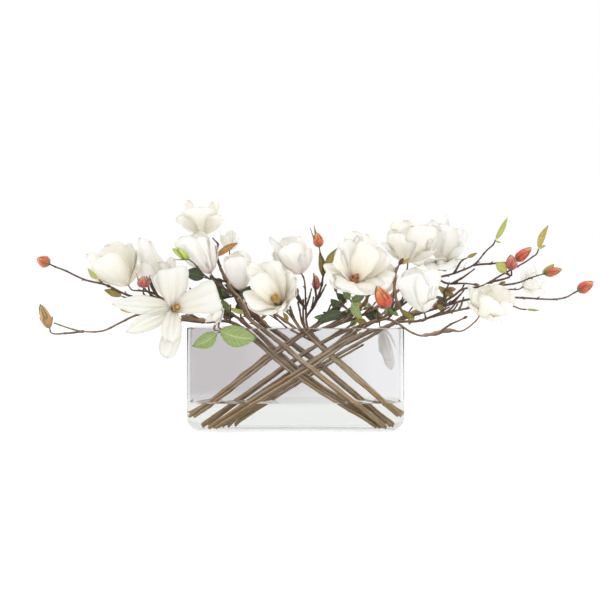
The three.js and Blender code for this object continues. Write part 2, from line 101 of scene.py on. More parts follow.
# Every place in the tables but a branch's foot is read off the front elevation
BRANCHES = {
    "branch_left_1": stem((145, 0, FOOT_HEIGHT), "bud_1", [
        (17, 89, 0), (-79, 171, 0), (-116, 195, -8), (-158, 206, -20), (-215, 213, -42),
        (-275, 220, -60), (-308, 236, -62), (-346, 246, -58), (-385, 263, -52),
    ], [
        twig("leaf_1", (-308, 236, -62)),
        twig("leaf_2", (-268, 219, -60)),
        twig("bloom_1", (-215, 214, -44), (-240, 226, -42), (-260, 228, -34)),
        twig("bud_3", (-245, 217, -52)),
    ]),
    "branch_left_2": stem((138, -18, FOOT_HEIGHT), None, [
        (9, 86, -18), (-98, 173, -20), (-121, 178, -36), (-148, 176, -38), (-191, 181, -40),
        (-232, 193, -48), (-262, 188, -55), (-290, 175, -58), (-318, 162, -60), (-357, 162, -61),
        (-399, 175, -62),
    ], [
        twig("bud_2", (-350, 160, -60), (-376, 158, -56)),
        twig("leaf_3", (-245, 190, -50)),
        twig("bloom_3", (-150, 176, -38), (-180, 192, -54)),
        twig("bloom_17", (-106, 174, -26)),
        twig("leaf_9", (-121, 178, -36), (-124, 178, -50), (-127, 168, -59)),
        twig("leaf_10", (-124, 178, -50), (-129, 176, -58)),
    ]),
    "branch_left_3": stem((146, -28, FOOT_HEIGHT), "bloom_4", [
        (25, 102, -38), (-21, 140, -39), (-55, 166, -40), (-74, 182, -36), (-88, 208, -24),
        (-107, 232, -12), (-120, 257, 0), (-130, 284, 10), (-140, 302, 16),
    ], [
        twig("bloom_5", (-112, 242, -6)),
        twig("bud_4", (-95, 216, -20), (-128, 239, -44), (-151, 254, -58)),
        twig("leaf_14", (-132, 242, -46)),
        twig("bloom_2", (-98, 220, -18), (-120, 216, -6), (-158, 214, 4), (-184, 214, 10)),
        twig("leaf_15", (-98, 220, -18), (-104, 224, -4)),
        shoot(4, (-125, 268, 2), (-132, 284, 0), (-131, 296, -2)),
        shoot(1.5, (-134, 292, 12), (-128, 304, 2), (-136, 314, -6)),
    ]),
    "branch_left_4": stem((158, 19, FOOT_HEIGHT), "bloom_7", [
        (42, 106, 19), (-46, 170, 19), (-62, 184, 10), (-80, 197, -2), (-86, 208, -6),
    ], [
        twig("bloom_6", (-62, 184, 10), (-85, 236, 34), (-100, 268, 52)),
    ]),
    "branch_left_5": stem((169.5, -18, 24), "bloom_8", [
        (144, 48, -18), (66, 113, -18), (7, 167, -18), (-8, 186, -18),
    ], [
        shoot(2.5, (24, 151, -18), (-4, 169, -10), (-40, 195, 0), (-54, 208, 6)),
        shoot(2, (36, 140, -18), (-8, 162, -4), (-28, 178, 4), (-60, 200, 10)),
    ]),
    "branch_left_6": stem((169.5, 15, 24), "bloom_9", [
        (110, 80, 19), (22, 163, 19), (17, 196, 18), (16, 229, 14),
    ], [
        twig("bud_5", (20, 184, 18), (36, 214, 4), (44, 246, -8), (45, 275, -12)),
        twig("leaf_12", (42, 236, -6)),
        twig("bud_6", (30, 204, 8)),
        shoot(4, (17, 198, 18), (7, 213, 6), (2, 228, -4)),
    ]),
    "branch_right_1": stem((-170, -8, 22), "bloom_10", [
        (-21, 135, -8), (37, 176, -8), (70, 206, -10), (88, 224, -10),
    ], [
        twig("leaf_11", (52, 190, -9), (66, 200, -28), (78, 202, -42)),
        twig("leaf_13", (76, 211, -10), (86, 216, -28)),
        shoot(3, (14, 160, -8), (50, 177, -14), (88, 187, -22), (116, 199, -26)),
    ]),
    "branch_right_2": stem((-167, 26, 24), "bloom_12", [
        (-21, 136, 30), (73, 173, 31), (126, 195, 26), (154, 216, 24), (185, 241, 36), (215, 252, 52),
        (238, 262, 62),
    ], [
        twig("bloom_11", (178, 236, 32)),
        twig("bloom_13", (140, 205, 25)),
        shoot(3, (104, 186, 28), (84, 198, 20), (72, 214, 10), (66, 230, 2)),
        shoot(3, (73, 173, 31), (92, 186, 24), (112, 206, 14), (122, 222, 6)),
        twig("bloom_18", (104, 186, 28), (122, 190, 48), (138, 180, 66)),
    ]),
    "branch_right_3": stem((-128, -8, FOOT_HEIGHT), "bloom_16", [
        (-55, 46, -8), (14, 101, -8), (73, 143, -8), (106, 163, -12), (131, 177, -28), (152, 181, -45),
        (169, 174, -58), (190, 160, -64), (207, 154, -62), (228, 157, -58), (250, 162, -58),
        (275, 162, -60),
    ], [
        twig("bud_7", (152, 181, -45), (158, 188, -62)),
        shoot(2.5, (236, 158, -58), (256, 172, -70), (280, 184, -76)),
    ]),
    "branch_right_4": stem((-112, 8, FOOT_HEIGHT), "leaf_7", [
        (14, 88, 8), (88, 131, 4), (128, 153, -2), (148, 167, -8), (167, 176, -12), (202, 178, -30),
        (228, 186, -36), (250, 191, -30), (286, 200, -20), (321, 204, -8), (360, 202, -12),
    ], [
        twig("bloom_14", (206, 178, -35), (214, 180, -50)),
    ]),
    "branch_right_5": stem((-134, 8, FOOT_HEIGHT), "bud_11", [
        (14, 106, 8), (93, 143, 10), (146, 167, 12), (185, 184, 12), (222, 196, 10), (250, 204, 6),
        (286, 214, 2), (321, 218, 0), (381, 216, 2), (430, 214, 4), (448, 218, 4),
    ], [
        twig("bud_10", (290, 214, 2), (304, 226, 12), (331, 235, 20), (369, 242, 22), (390, 250, 20)),
        twig("bloom_15", (322, 233, 18), (337, 228, 45), (352, 230, 68)),
        shoot(4, (331, 235, 20), (341, 240, 12)),
    ]),
    "branch_right_6": stem((-140, -28, FOOT_HEIGHT), "leaf_6", [
        (14, 101, -28), (90, 148, -28), (146, 168, -28), (187, 190, -24), (217, 201, -18),
        (240, 209, -14), (260, 219, -12), (275, 230, -12), (311, 237, -12), (341, 255, -14),
        (377, 274, -14), (391, 284, -12),
    ], [
        twig("bud_8", (346, 258, -14)),
        twig("leaf_8", (320, 242, -12), (346, 248, -24)),
        shoot(4, (180, 186, -25), (166, 214, -38), (163, 233, -38), (166, 262, -38), (174, 276, -38)),
        shoot(5, (246, 212, -13), (246, 228, -16), (256, 230, -18)),
    ]),
    "branch_right_7": stem((-152, 8, FOOT_HEIGHT), "leaf_4", [
        (14, 124, 8), (93, 165, 10), (146, 185, 8), (181, 208, 6), (209, 231, 4), (229, 247, 2),
        (266, 258, 2), (294, 271, 6), (317, 296, 8),
    ], [
        twig("leaf_5", (262, 257, 2)),
        twig("bud_9", (294, 271, 6), (325, 273, 4), (348, 274, 0)),
        shoot(3, (232, 248, 2), (250, 240, -2), (281, 240, -2), (298, 238, 2)),
    ]),
}

# Old, knotty lengths of the branches: the branch, the radius, and the route
BURRS = [
    ("branch_left_2", 5.6, [(-146, 177, -40), (-190, 186, -46)]),
    ("branch_left_3", 3.9, [
        (-74, 182, -36), (-88, 208, -24), (-107, 232, -12), (-120, 257, 0), (-127, 272, 5),
    ]),
    ("branch_left_4", 4.2, [(-46, 170, 19), (-62, 184, 10), (-80, 197, -2)]),
    ("branch_left_5", 3.0, [(2, 165, -12), (-4, 169, -10), (-40, 195, 0), (-50, 204, 4)]),
    ("branch_right_2", 3.0, [(73, 173, 31), (92, 186, 24), (112, 206, 14), (122, 222, 6)]),
    ("branch_right_2", 3.9, [(126, 195, 26), (154, 216, 24), (176, 234, 32)]),
    ("branch_right_3", 3.8, [(207, 154, -62), (228, 157, -58), (250, 162, -58), (266, 163, -59)]),
    ("branch_right_4", 4.3, [(128, 153, -2), (148, 167, -8), (167, 176, -12)]),
    ("branch_right_6", 3.8, [(187, 190, -24), (217, 201, -18), (240, 209, -14)]),
    ("branch_right_6", 3.3, [
        (180, 186, -25), (166, 214, -38), (163, 233, -38), (166, 262, -38), (172, 272, -38),
    ]),
]

# Buds: base and tip of the axis, greatest width, colours from base to tip, and sepals as
# (azimuth, length, width, lean outwards) in millimetres and degrees
BUDS = {
    "bud_1": ((-406, 272, -50), (-427, 282, -50), 19, "orange", [(60, 9, 6, 30), (200, 8, 6, 35)]),
    "bud_2": ((-406, 167, -55), (-421, 206, -55), 17, "olive", [
        (10, 20, 8, 14), (130, 17, 8, 22), (250, 22, 8, 16),
    ]),
    "bud_3": ((-251, 233, -58), (-251, 252, -60), 20, "rose_bud", [
        (80, 22, 11, 14), (180, 18, 9, 10), (280, 23, 11, 12),
    ]),
    "bud_4": ((-177, 280, -64), (-203, 298, -66), 11, "lime", [
        (30, 24, 11, 18), (150, 27, 10, 14), (265, 22, 11, 30),
    ]),
    "bud_5": ((39, 300, -10), (35, 325, -10), 17, "orange", [
        (200, 38, 6, 3), (290, 34, 6, 9), (70, 14, 7, 12),
    ]),
    "bud_6": ((34, 230, -18), (34, 254, -20), 13, "rose_bud", [(100, 12, 6, 18), (250, 11, 6, 20)]),
    "bud_7": ((152, 200, -84), (134, 236, -98), 24, "flame", [
        (80, 17, 9, 34), (200, 14, 9, 36), (310, 16, 9, 40),
    ]),
    "bud_8": ((356, 262, -24), (356, 288, -26), 18, "rose_bud", [(70, 12, 7, 22), (240, 12, 7, 24)]),
    "bud_9": ((363, 278, -2), (390, 299, -2), 17, "flame", [(100, 11, 7, 22), (260, 11, 7, 20)]),
    "bud_10": ((411, 256, 18), (440, 263, 18), 15, "orange", [(170, 22, 7, 16), (20, 13, 6, 20)]),
    "bud_11": ((466, 228, 4), (492, 242, 4), 19, "flame", [
        (10, 15, 8, 20), (130, 12, 7, 26), (250, 12, 7, 20),
    ]),
}

# Leaves: base, tip, greatest width, the way that the upper face looks, and the colour
LEAVES = {
    "leaf_1": ((-325, 247, -80), (-343, 265, -82), 8, (0.2, -1, 0.3), "lime"),
    "leaf_2": ((-287, 219, -62), (-316, 229, -64), 15, (0, -0.9, 0.6), "olive"),
    "leaf_3": ((-263, 193, -62), (-290, 196, -68), 10, (0, -0.9, 0.7), "yellow"),
    "leaf_4": ((330, 312, 8), (349, 349, 8), 11, (0.4, -1, 0), "lime"),
    "leaf_5": ((283, 282, -8), (300, 290, -8), 9, (0, -0.8, 1), "olive"),
    "leaf_6": ((401, 297, -12), (417, 336, -12), 11, (-0.3, -1, 0), "gold"),
    "leaf_7": ((381, 197, -12), (402, 195, -12), 8, (0, -0.6, 1), "spring"),
    "leaf_8": ((347, 258, -26), (330, 275, -26), 18, (0, -1, 0.2), "lime"),
    "leaf_9": ((-130, 158, -60), (-170, 136, -64), 26, (0, -1, 0.4), "spring"),
    "leaf_10": ((-125, 162, -61), (-65, 149, -62), 36, (0, -1, 0.3), "spring"),
    "leaf_11": ((77, 193, -44), (35, 175, -50), 18, (0, -1, 0.5), "dark"),
    "leaf_12": ((50, 261, -12), (70, 299, -12), 13, (0.3, -1, 0), "olive"),
    "leaf_13": ((93, 208, -40), (110, 181, -46), 15, (0, -1, 0.2), "spring"),
    "leaf_14": ((-151, 250, -50), (-184, 258, -52), 22, (0, -1, 0.2), "dark"),
    "leaf_15": ((-116, 228, 8), (-142, 254, 12), 15, (0, -1, 0.3), "dark"),
}

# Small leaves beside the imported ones: base and tip as across and up, greatest width, and colour. Each takes
# its depth from the shoot that its base is nearest to.
SPRIG_LEAVES = [
    (-110, 206, -133, 229, 20, "dark"), (-107, 198, -131, 208, 15, "dark"),
    (-110, 213, -123, 234, 12, "fern"), (-87, 190, -112, 201, 8, "lime"),
    (-80, 213, -75, 234, 13, "fern"), (-87, 213, -90, 233, 8, "olive"), (90, 208, 116, 226, 15, "fern"),
    (83, 213, 68, 224, 10, "dark"), (83, 183, 44, 193, 13, "dark"), (126, 188, 121, 208, 12, "spring"),
    (146, 188, 161, 206, 15, "spring"), (139, 176, 116, 185, 13, "dark"),
    (250, 205, 226, 218, 15, "fern"), (235, 204, 243, 191, 10, "olive"),
    (263, 218, 235, 236, 13, "olive"), (195, 190, 187, 171, 10, "lime"), (44, 252, 39, 292, 13, "olive"),
    (44, 254, 53, 275, 10, "olive"), (405, 259, 426, 272, 13, "lime"), (327, 310, 339, 307, 4, "lime"),
    (400, 297, 413, 303, 5, "lime"), (-14, 175, -21, 193, 8, "gold"), (-8, 195, -16, 206, 7, "spring"),
    (-125, 284, -138, 294, 10, "olive"), (169, 275, 189, 282, 7, "gold"),
    (-121, 290, -95, 307, 12, "amber"), (67, 186, 93, 196, 12, "dark"), (58, 198, 77, 214, 10, "fern"),
    (-55, 183, -46, 195, 7, "olive"), (-92, 216, -75, 236, 16, "dark"),
    (-100, 186, -128, 192, 13, "dark"), (54, 190, 76, 203, 13, "fern"), (110, 202, 92, 219, 13, "lime"),
    (122, 212, 117, 236, 9, "lime"), (134, 204, 117, 190, 12, "dark"), (150, 196, 170, 186, 12, "fern"),
    (62, 176, 30, 184, 14, "fern"), (176, 196, 196, 184, 10, "olive"), (102, 180, 88, 168, 10, "spring"),
    (-92, 222, -118, 238, 14, "dark"), (-84, 206, -100, 196, 12, "dark"),
    (-118, 246, -139, 240, 12, "dark"), (-105, 200, -122, 214, 16, "fern"),
    (110, 190, 134, 196, 14, "dark"), (98, 200, 80, 190, 13, "fern"), (74, 200, 58, 214, 14, "dark"),
    (128, 196, 146, 182, 12, "fern"), (118, 176, 98, 184, 12, "olive"), (92, 214, 78, 226, 12, "fern"),
    (104, 206, 120, 214, 10, "lime"),
]

# Blooms: base and tip of the axis, width of the mouth, kind of petal, and the petals. A petal is its tip as
# across, up and depth, its width, how far it swells out from the axis and bows along it, and how sharp its
# tip is: round at 0, sharp at 1, and blunter below 0. bloom_3 is the wide open star.
BLOOMS = {
    "bloom_1": ((-276, 237, -30), (-318, 292, -38), 74, "cream", [
        (-343, 289, -50, 59, 16, 0, 0.3), (-323, 284, -80, 51, 14, 0, 0.1),
        (-313, 303, -20, 59, 10, 0, 0.15), (-286, 300, -4, 63, 12, 0, 0),
        (-258, 275, -28, 46, 16, 0, 0.05), (-270, 292, -10, 43, 14, 0, 0.1),
        (-336, 266, -20, 46, 14, 0, 0.3),
    ]),
    "bloom_2": ((-205, 226, 12), (-230, 308, 14), 60, "white", [
        (-256, 315, -4, 50, 30, -4, 0.35), (-242, 310, 18, 46, 18, 0, 0.2),
        (-227, 275, -12, 40, 10, 0, 0.2), (-255, 275, -20, 43, 30, -6, 0.1),
        (-206, 284, 30, 26, 6, 0, 0.2), (-244, 295, 44, 46, 20, 0, 0.2),
    ]),
    # The star takes a greyer copy of the petal paint, painted shade for petals that face the lamps
    "bloom_3": ((-201, 198, -74), (-188, 205, -104), 60, "pale", [
        (-303, 206, -100, 31, 0, 9, 1.0), (-281, 160, -108, 30, 0, 8, 0.9),
        (-210, 145, -122, 33, 0, 6, 0.3), (-215, 117, -90, 33, 0, 6, 0.25),
        (-127, 223, -92, 51, 0, 9, -0.2), (-208, 266, -94, 53, 0, 7, -0.15),
        (-224, 257, -62, 36, 0, 4, 0.3),
    ]),
    "bloom_4": ((-154, 319, 22), (-156, 375, 22), 62, "cream", [
        (-191, 353, 2, 50, 16, 0, 0.25), (-178, 378, 30, 43, 12, 0, 0.25),
        (-159, 366, -10, 58, 15, 0, 0), (-138, 374, 34, 46, 14, 0, 0.2), (-124, 353, 4, 50, 17, 0, 0.1),
        (-158, 366, 56, 50, 18, 0, 0.2),
    ]),
    "bloom_5": ((-140, 257, -28), (-179, 317, -34), 46, "rose", [
        (-192, 315, -58, 40, 15, 0, 0.15), (-145, 318, -34, 38, 14, 0, 0.15),
        (-169, 322, -10, 43, 12, 0, 0.1), (-197, 307, -34, 33, 14, 0, 0.2),
        (-179, 318, 8, 43, 14, 0, 0.2), (-161, 316, -50, 30, 14, 0, 0.2),
        (-138, 302, -10, 33, 13, 0, 0.2),
    ]),
    "bloom_6": ((-109, 295, 60), (-111, 327, 60), 32, "white", [
        (-125, 327, 58, 16, 5, 0, 0.2), (-107, 327, 66, 21, 6, 0, 0.05), (-98, 317, 56, 18, 6, 0, 0.1),
        (-115, 320, 48, 21, 8, 0, 0.05), (-93, 307, 60, 15, 4, 0, 0.2), (-123, 312, 62, 16, 5, 0, 0.1),
    ]),
    "bloom_7": ((-90, 228, -8), (-99, 292, -14), 42, "rose", [
        (-102, 284, -38, 40, 18, 0, 0.1), (-115, 285, -10, 36, 14, 0, 0.2),
        (-80, 279, -14, 36, 14, 0, 0.2), (-95, 293, 12, 43, 15, 0, 0.2), (-90, 285, -34, 30, 16, 0, 0.2),
    ]),
    "bloom_8": ((-24, 204, -26), (-49, 234, -80), 84, "peach", [
        (-52, 274, -60, 52, 0, 4, 0.05), (-22, 264, -38, 42, 0, 4, 0.1), (0, 248, -66, 46, 6, 3, 0.05),
        (-79, 271, -66, 26, 0, 8, 0.3), (-82, 210, -78, 46, -2, 9, 0.1),
        (-57, 188, -78, 50, -3, 10, 0.05), (-3, 219, -84, 42, 6, 2, 0.15),
        (-69, 253, -90, 34, 0, 6, 0.2), (-31, 193, -76, 38, -2, 8, 0.1),
    ]),
    "bloom_9": ((10, 256, 8), (-18, 316, 2), 60, "rose", [
        (-40, 317, -6, 43, 11, 0, 0.1), (-49, 271, -14, 30, 6, 0, 0.35), (6, 318, -4, 50, 15, 0, 0),
        (24, 297, 8, 40, 13, 0, 0.1), (-14, 304, -32, 43, 20, 0, 0.1), (-19, 315, 30, 50, 17, 0, 0.2),
        (-37, 292, 20, 36, 13, 0, 0.2), (14, 295, -20, 33, 16, 0, 0.15),
    ]),
    "bloom_10": ((96, 241, -20), (108, 282, -66), 100, "peach", [
        (50, 256, -64, 50, 2, 6, 0.3), (65, 290, -56, 46, 2, 6, 0.2), (82, 312, -38, 43, 0, 8, 0.15),
        (95, 326, -32, 33, 0, 8, 0.1), (116, 321, -28, 40, 0, 8, 0.15), (128, 303, -58, 46, 0, 8, 0.1),
        (152, 289, -34, 46, 4, 6, 0.2), (162, 246, -60, 50, 4, 5, 0.2), (93, 223, -74, 66, -4, 13, 0),
        (63, 233, -70, 43, 0, 10, 0.2), (138, 226, -70, 43, 0, 9, 0.2),
    ]),
    "bloom_11": ((185, 274, 20), (190, 341, 8), 80, "cream", [
        (184, 344, 50, 56, 14, 0, 0), (147, 308, 6, 45, 14, 0, 0.1), (161, 330, 30, 48, 12, 0, 0.1),
        (232, 318, 0, 58, 14, 0, 0.05), (212, 337, -30, 59, 24, 0, 0.05),
        (174, 323, -22, 53, 24, 0, 0.05), (228, 295, -12, 46, 12, 0, 0.1),
        (195, 335, 20, 50, 16, 0, 0.1),
    ]),
    "bloom_12": ((248, 270, 66), (248, 350, 66), 60, "white", [
        (225, 345, 54, 40, 10, 0, 0.3), (251, 353, 66, 40, 8, 0, 0.45), (275, 332, 58, 51, 10, 0, 0.15),
        (278, 302, 46, 46, 6, 0, 0.1), (262, 331, 50, 62, 18, 0, 0.1), (238, 338, 44, 64, 20, 0, 0.1),
        (263, 266, 18, 50, 0, 9, 0.1), (205, 269, 22, 50, 0, 9, 0.1), (235, 261, 4, 53, 0, 10, 0.05),
        (238, 332, 92, 50, 16, 0, 0.2),
    ]),
    "bloom_13": ((148, 223, 34), (140, 274, 24), 54, "cream", [
        (128, 266, 30, 28, 8, 0, 0.05), (146, 275, 36, 35, 10, 0, 0.05), (164, 266, 32, 28, 8, 0, 0.05),
        (138, 259, 4, 35, 14, 0, 0.05), (156, 254, 8, 31, 12, 0, 0.05), (146, 270, 56, 38, 12, 0, 0.1),
    ]),
    "bloom_14": ((212, 193, -56), (192, 262, -64), 68, "white", [
        (190, 256, -96, 50, 14, 0, 0.05), (215, 261, -94, 51, 18, 0, 0.05),
        (171, 241, -70, 38, 8, 0, 0.1), (230, 241, -76, 40, 12, 0, 0.05),
        (195, 266, -44, 51, 14, 0, 0.1), (220, 262, -40, 46, 16, 0, 0.1), (225, 213, -82, 28, 6, 0, 0.2),
    ]),
    "bloom_15": ((375, 234, 86), (408, 251, 92), 44, "white", [
        (375, 262, 88, 25, 6, 0, 0.2), (393, 267, 84, 28, 8, 0, 0.05), (416, 244, 90, 28, 8, 0, 0.1),
        (412, 226, 84, 25, 5, 0, 0.2), (390, 219, 88, 25, 6, 0, 0.2), (403, 247, 64, 31, 10, 0, 0.05),
        (400, 254, 108, 31, 8, 0, 0.1),
    ]),
    "bloom_16": ((303, 186, -62), (336, 231, -70), 64, "cream", [
        (332, 211, -104, 50, 20, 0, 0.05), (296, 231, -80, 43, 14, 0, 0.1),
        (355, 209, -84, 46, 14, 0, 0.1), (319, 239, -62, 50, 14, 0, 0.1),
        (347, 233, -56, 50, 14, 0, 0.1), (337, 180, -88, 40, 12, 0, 0.15),
        (334, 226, -30, 53, 20, 0, 0.1), (286, 208, -72, 33, 10, 0, 0.2),
    ]),
    "bloom_17": ((-121, 186, -54), (-143, 193, -62), 28, "rose", [
        (-145, 203, -66, 25, 5, 0, 0), (-146, 185, -70, 28, 4, 0, 0), (-135, 171, -68, 26, 4, 0, 0),
        (-125, 208, -58, 25, 5, 0, 0.1), (-121, 188, -66, 25, 5, 0, 0.1), (-135, 193, -78, 28, 7, 0, 0),
    ]),
    # bloom_18 takes a whiter copy of the petal paint, painted light for a bloom that hangs behind the vase
    "bloom_18": ((141, 163, 69), (161, 96, 69), 30, "bright", [
        (161, 96, 66, 21, 5, 0, 0.2), (146, 120, 62, 20, 5, 0, 0.2), (171, 127, 66, 20, 6, 0, 0.1),
        (156, 110, 50, 21, 7, 0, 0.05), (156, 110, 86, 21, 7, 0, 0.05),
    ]),
}


# Paints


def colour(code):
    """Linear colour from six sRGB hex digits."""
    shares = [int(code[i : i + 2], 16) / 255 for i in (0, 2, 4)]
    linear = [s / 12.92 if s <= 0.04045 else ((s + 0.055) / 1.055) ** 2.4 for s in shares]
    return (*linear, 1.0)


class Paint:
    """A node material. Its helpers add nodes, and a value given as a socket is linked to it."""

    def __init__(self, name, roughness, **constants):
        self.material = bpy.data.materials.new(name)
        self.material.use_nodes = True
        self.tree = self.material.node_tree
        self.shader = self.tree.nodes["Principled BSDF"]
        self.set("Roughness", roughness)
        for socket, value in constants.items():
            self.set(socket.replace("_", " "), value)

    def set(self, socket, value):
        self.give(self.shader.inputs[socket], value)

    def give(self, socket, value):
        if isinstance(value, bpy.types.NodeSocket):
            self.tree.links.new(value, socket)
        else:
            socket.default_value = value

    def node(self, kind, output=0, inputs=(), **settings):
        node = self.tree.nodes.new("ShaderNode" + kind)
        for name, value in settings.items():
            setattr(node, name, value)
        for name, value in dict(inputs).items():
            self.give(node.inputs[name], value)
        return node.outputs[output]

    def layers(self):
        """The skin, tone and rim that a Shape carries."""
        outputs = {"skin": "Vector", "tone": "Fac", "rim": "Fac"}
        return [self.node("Attribute", output, attribute_name=name) for name, output in outputs.items()]

    def noise(self, scale, vector, detail=3.0, distortion=0.0):
        stretched = self.node("Mapping", inputs={"Vector": vector, "Scale": scale})
        inputs = {"Vector": stretched, "Scale": 1.0, "Detail": detail, "Distortion": distortion}
        return self.node("TexNoise", inputs=inputs)

    def ramp(self, factor, *stops):
        output = self.node("ValToRGB", inputs={"Fac": factor})
        elements = output.node.color_ramp.elements
        for index, (place, code) in enumerate(stops):
            element = elements[index] if index < 2 else elements.new(place)
            element.position = place
            element.color = colour(code)
        return output

    def mix(self, factor, first, second):
        first, second = (colour(c) if isinstance(c, str) else c for c in (first, second))
        return self.node("Mix", 2, {0: factor, 6: first, 7: second}, data_type="RGBA")

    def maths(self, operation, *values):
        return self.node("Math", inputs=dict(enumerate(values)), operation=operation)

    def part(self, value, low, high, top=1.0):
        """The value's share of the way from low to high, times top."""
        inputs = {"Value": value, "From Min": low, "From Max": high, "To Max": top}
        return self.node("MapRange", inputs=inputs)

    def bump(self, height, depth_mm):
        self.set("Normal", self.node("Bump", inputs={"Height": height, "Distance": depth_mm * MM}))


def petal_paint(name, foot, blush, body, tip):
    """Waxy petal: tinted at its foot, faintly veined along its length, and greyer at its edge and tip, where
    painted shade outlines it.
    """
    paint = Paint(name, 0.5, Subsurface_Weight=0.5, Subsurface_Scale=0.0025)
    paint.set("Subsurface Radius", (1.0, 0.95, 0.85))
    skin, tone, rim = paint.layers()
    patches = paint.noise((0.05, 0.05, 0.05), skin, 2.0)
    place = paint.maths("ADD", tone, paint.part(patches, 0.3, 0.7, 0.12))
    shade = paint.ramp(place, (0.02, foot), (0.16, blush), (0.45, body), (1.0, tip))
    veins = paint.noise((1.1, 0.05, 1.0), skin, 4.0, 0.4)
    fine = paint.noise((3.2, 0.25, 1.0), skin, 3.0)
    veined = paint.mix(paint.part(veins, 0.5, 0.72, 0.4), shade, "ece7d6")
    warm = paint.mix(paint.part(patches, 0.5, 0.8, 0.3), veined, "f6e3bd")
    # Painted shade: a grey line along the petal's edge and tip stands in for its shaded rim
    edge = paint.maths("MULTIPLY", paint.maths("POWER", rim, 4.0), 0.5)
    paint.set("Base Color", paint.mix(edge, warm, "b4afa0"))
    paint.bump(paint.maths("ADD", veins, paint.maths("MULTIPLY", fine, 0.4)), 0.35)
    paint.set("Roughness", paint.part(fine, 0.2, 0.8, 0.62))
    return paint.material


def bark_paint():
    """Young bark: tan and olive low down and dark purple brown in the twigs, streaked and dotted with pale
    pores. It has painted shade where it looks down and a painted highlight where it looks up low on the
    stem, and it is golden where it stands in the water."""
    paint = Paint("young_bark", 0.75)
    skin, tone, down = paint.layers()
    streaks = paint.noise((1.6, 1.6, 0.12), skin, 5.0, 0.6)
    patches = paint.noise((0.1, 0.1, 0.035), skin, 3.0)
    place = paint.maths("MULTIPLY_ADD", tone, 0.75, paint.part(patches, 0.25, 0.75, 0.25))
    shade = paint.ramp(
        place, (0.05, "a67e38"), (0.26, "b7a284"), (0.4, "8a6a4e"), (0.58, "503322"), (0.98, "321d17")
    )
    olive = paint.mix(paint.part(patches, 0.55, 0.7, 0.45), shade, "85844a")
    ruddy = paint.mix(paint.part(patches, 0.46, 0.32, 0.5), olive, "8c4f38")
    streaked = paint.mix(paint.part(streaks, 0.5, 0.75, 0.6), ruddy, "33231b")
    light = paint.mix(paint.part(streaks, 0.42, 0.25, 0.3), streaked, "b59d79")
    pores = paint.node("TexVoronoi", "Distance", {"Vector": skin, "Scale": 0.42, "Randomness": 1.0})
    dotted = paint.mix(paint.part(pores, 0.3, 0.2, 0.45), light, "b8a180")
    low = paint.part(tone, 0.75, 0.2, 0.6)
    # Painted light and shade: the bark is lighter where it looks up, low on the stem, and darker where it
    # looks down
    painted_top_highlight = paint.mix(paint.maths("MULTIPLY", paint.part(down, 0.42, 0.1), low), dotted, "d8ccb4")
    painted_underside_shade = paint.mix(paint.part(down, 0.5, 0.9, 0.75), painted_top_highlight, "2b1f19")
    height = paint.node("SeparateXYZ", "Z", {"Vector": paint.node("TexCoord", "Object")})
    soaked = paint.part(height, (WATER_LEVEL + 1) * MM, (WATER_LEVEL - 4) * MM, 0.5)
    paint.set("Base Color", paint.mix(soaked, painted_underside_shade, "75591f"))
    paint.bump(paint.maths("ADD", streaks, paint.part(pores, 0.4, 0.15, 0.6)), 0.5)
    paint.set("Roughness", paint.part(streaks, 0.2, 0.8, 0.9))
    return paint.material


def scale_paint(name, *codes):
    """Scales, sepals and stamens: a colour from base to tip, fine ribs along them, a dark edge that is partly
    their own colour and partly painted shade where they overlap, and a soft down.
    """
    paint = Paint(name, 0.5, Sheen_Weight=0.25)
    skin, tone, rim = paint.layers()
    patches = paint.noise((0.18, 0.12, 0.18), skin, 3.0)
    place = paint.maths("ADD", tone, paint.maths("MULTIPLY_ADD", patches, 0.5, -0.25))
    steps = len(codes) - 1
    shade = paint.ramp(place, *((0.04 + 0.92 * i / steps, code) for i, code in enumerate(codes)))
    ribs = paint.noise((2.4, 0.2, 2.4), skin, 4.0, 0.3)
    ribbed = paint.mix(paint.part(ribs, 0.5, 0.8, 0.6), shade, "4f2a1c")
    # The dark edge is partly the scales' own colour and partly painted shade where they overlap
    paint.set("Base Color", paint.mix(paint.part(rim, 0.5, 1.0, 0.85), ribbed, "552a1b"))
    paint.bump(ribs, 0.3)
    paint.set("Roughness", paint.part(ribs, 0.2, 0.8, 0.6))
    return paint.material


def leaf_paint(name, body, edge, vein):
    """Leaf: paler along the midrib and the side veins, mottled between them, and turning at the edge."""
    paint = Paint(name, 0.45)
    skin, tone, rim = paint.layers()
    patches = paint.noise((0.22, 0.12, 0.2), skin, 4.0)
    cells = paint.noise((1.6, 1.6, 1.6), skin, 3.0)
    blotched = paint.mix(paint.part(patches, 0.42, 0.68, 0.8), body, edge)
    turned = paint.mix(paint.maths("MULTIPLY", paint.maths("POWER", rim, 3.0), 0.6), blotched, edge)
    ribs = paint.maths("SINE", paint.maths("MULTIPLY_ADD", rim, -12.0, paint.maths("MULTIPLY", tone, 50.0)))
    lines = paint.maths("MAXIMUM", paint.part(ribs, 0.86, 1.0, 0.45), paint.part(rim, 0.09, 0.02, 0.9))
    paint.set("Base Color", paint.mix(lines, turned, vein))
    paint.bump(paint.maths("SUBTRACT", cells, paint.maths("MULTIPLY", lines, 1.5)), 0.3)
    paint.set("Roughness", paint.part(cells, 0.2, 0.8, 0.55))
    return paint.material


RIPPLE_MM = 0.004

# Lower than the real ones, so that the stems seen through the vase stay where the elevation shows them
GLASS_INDEX = 1.2
WATER_INDEX = 1.14


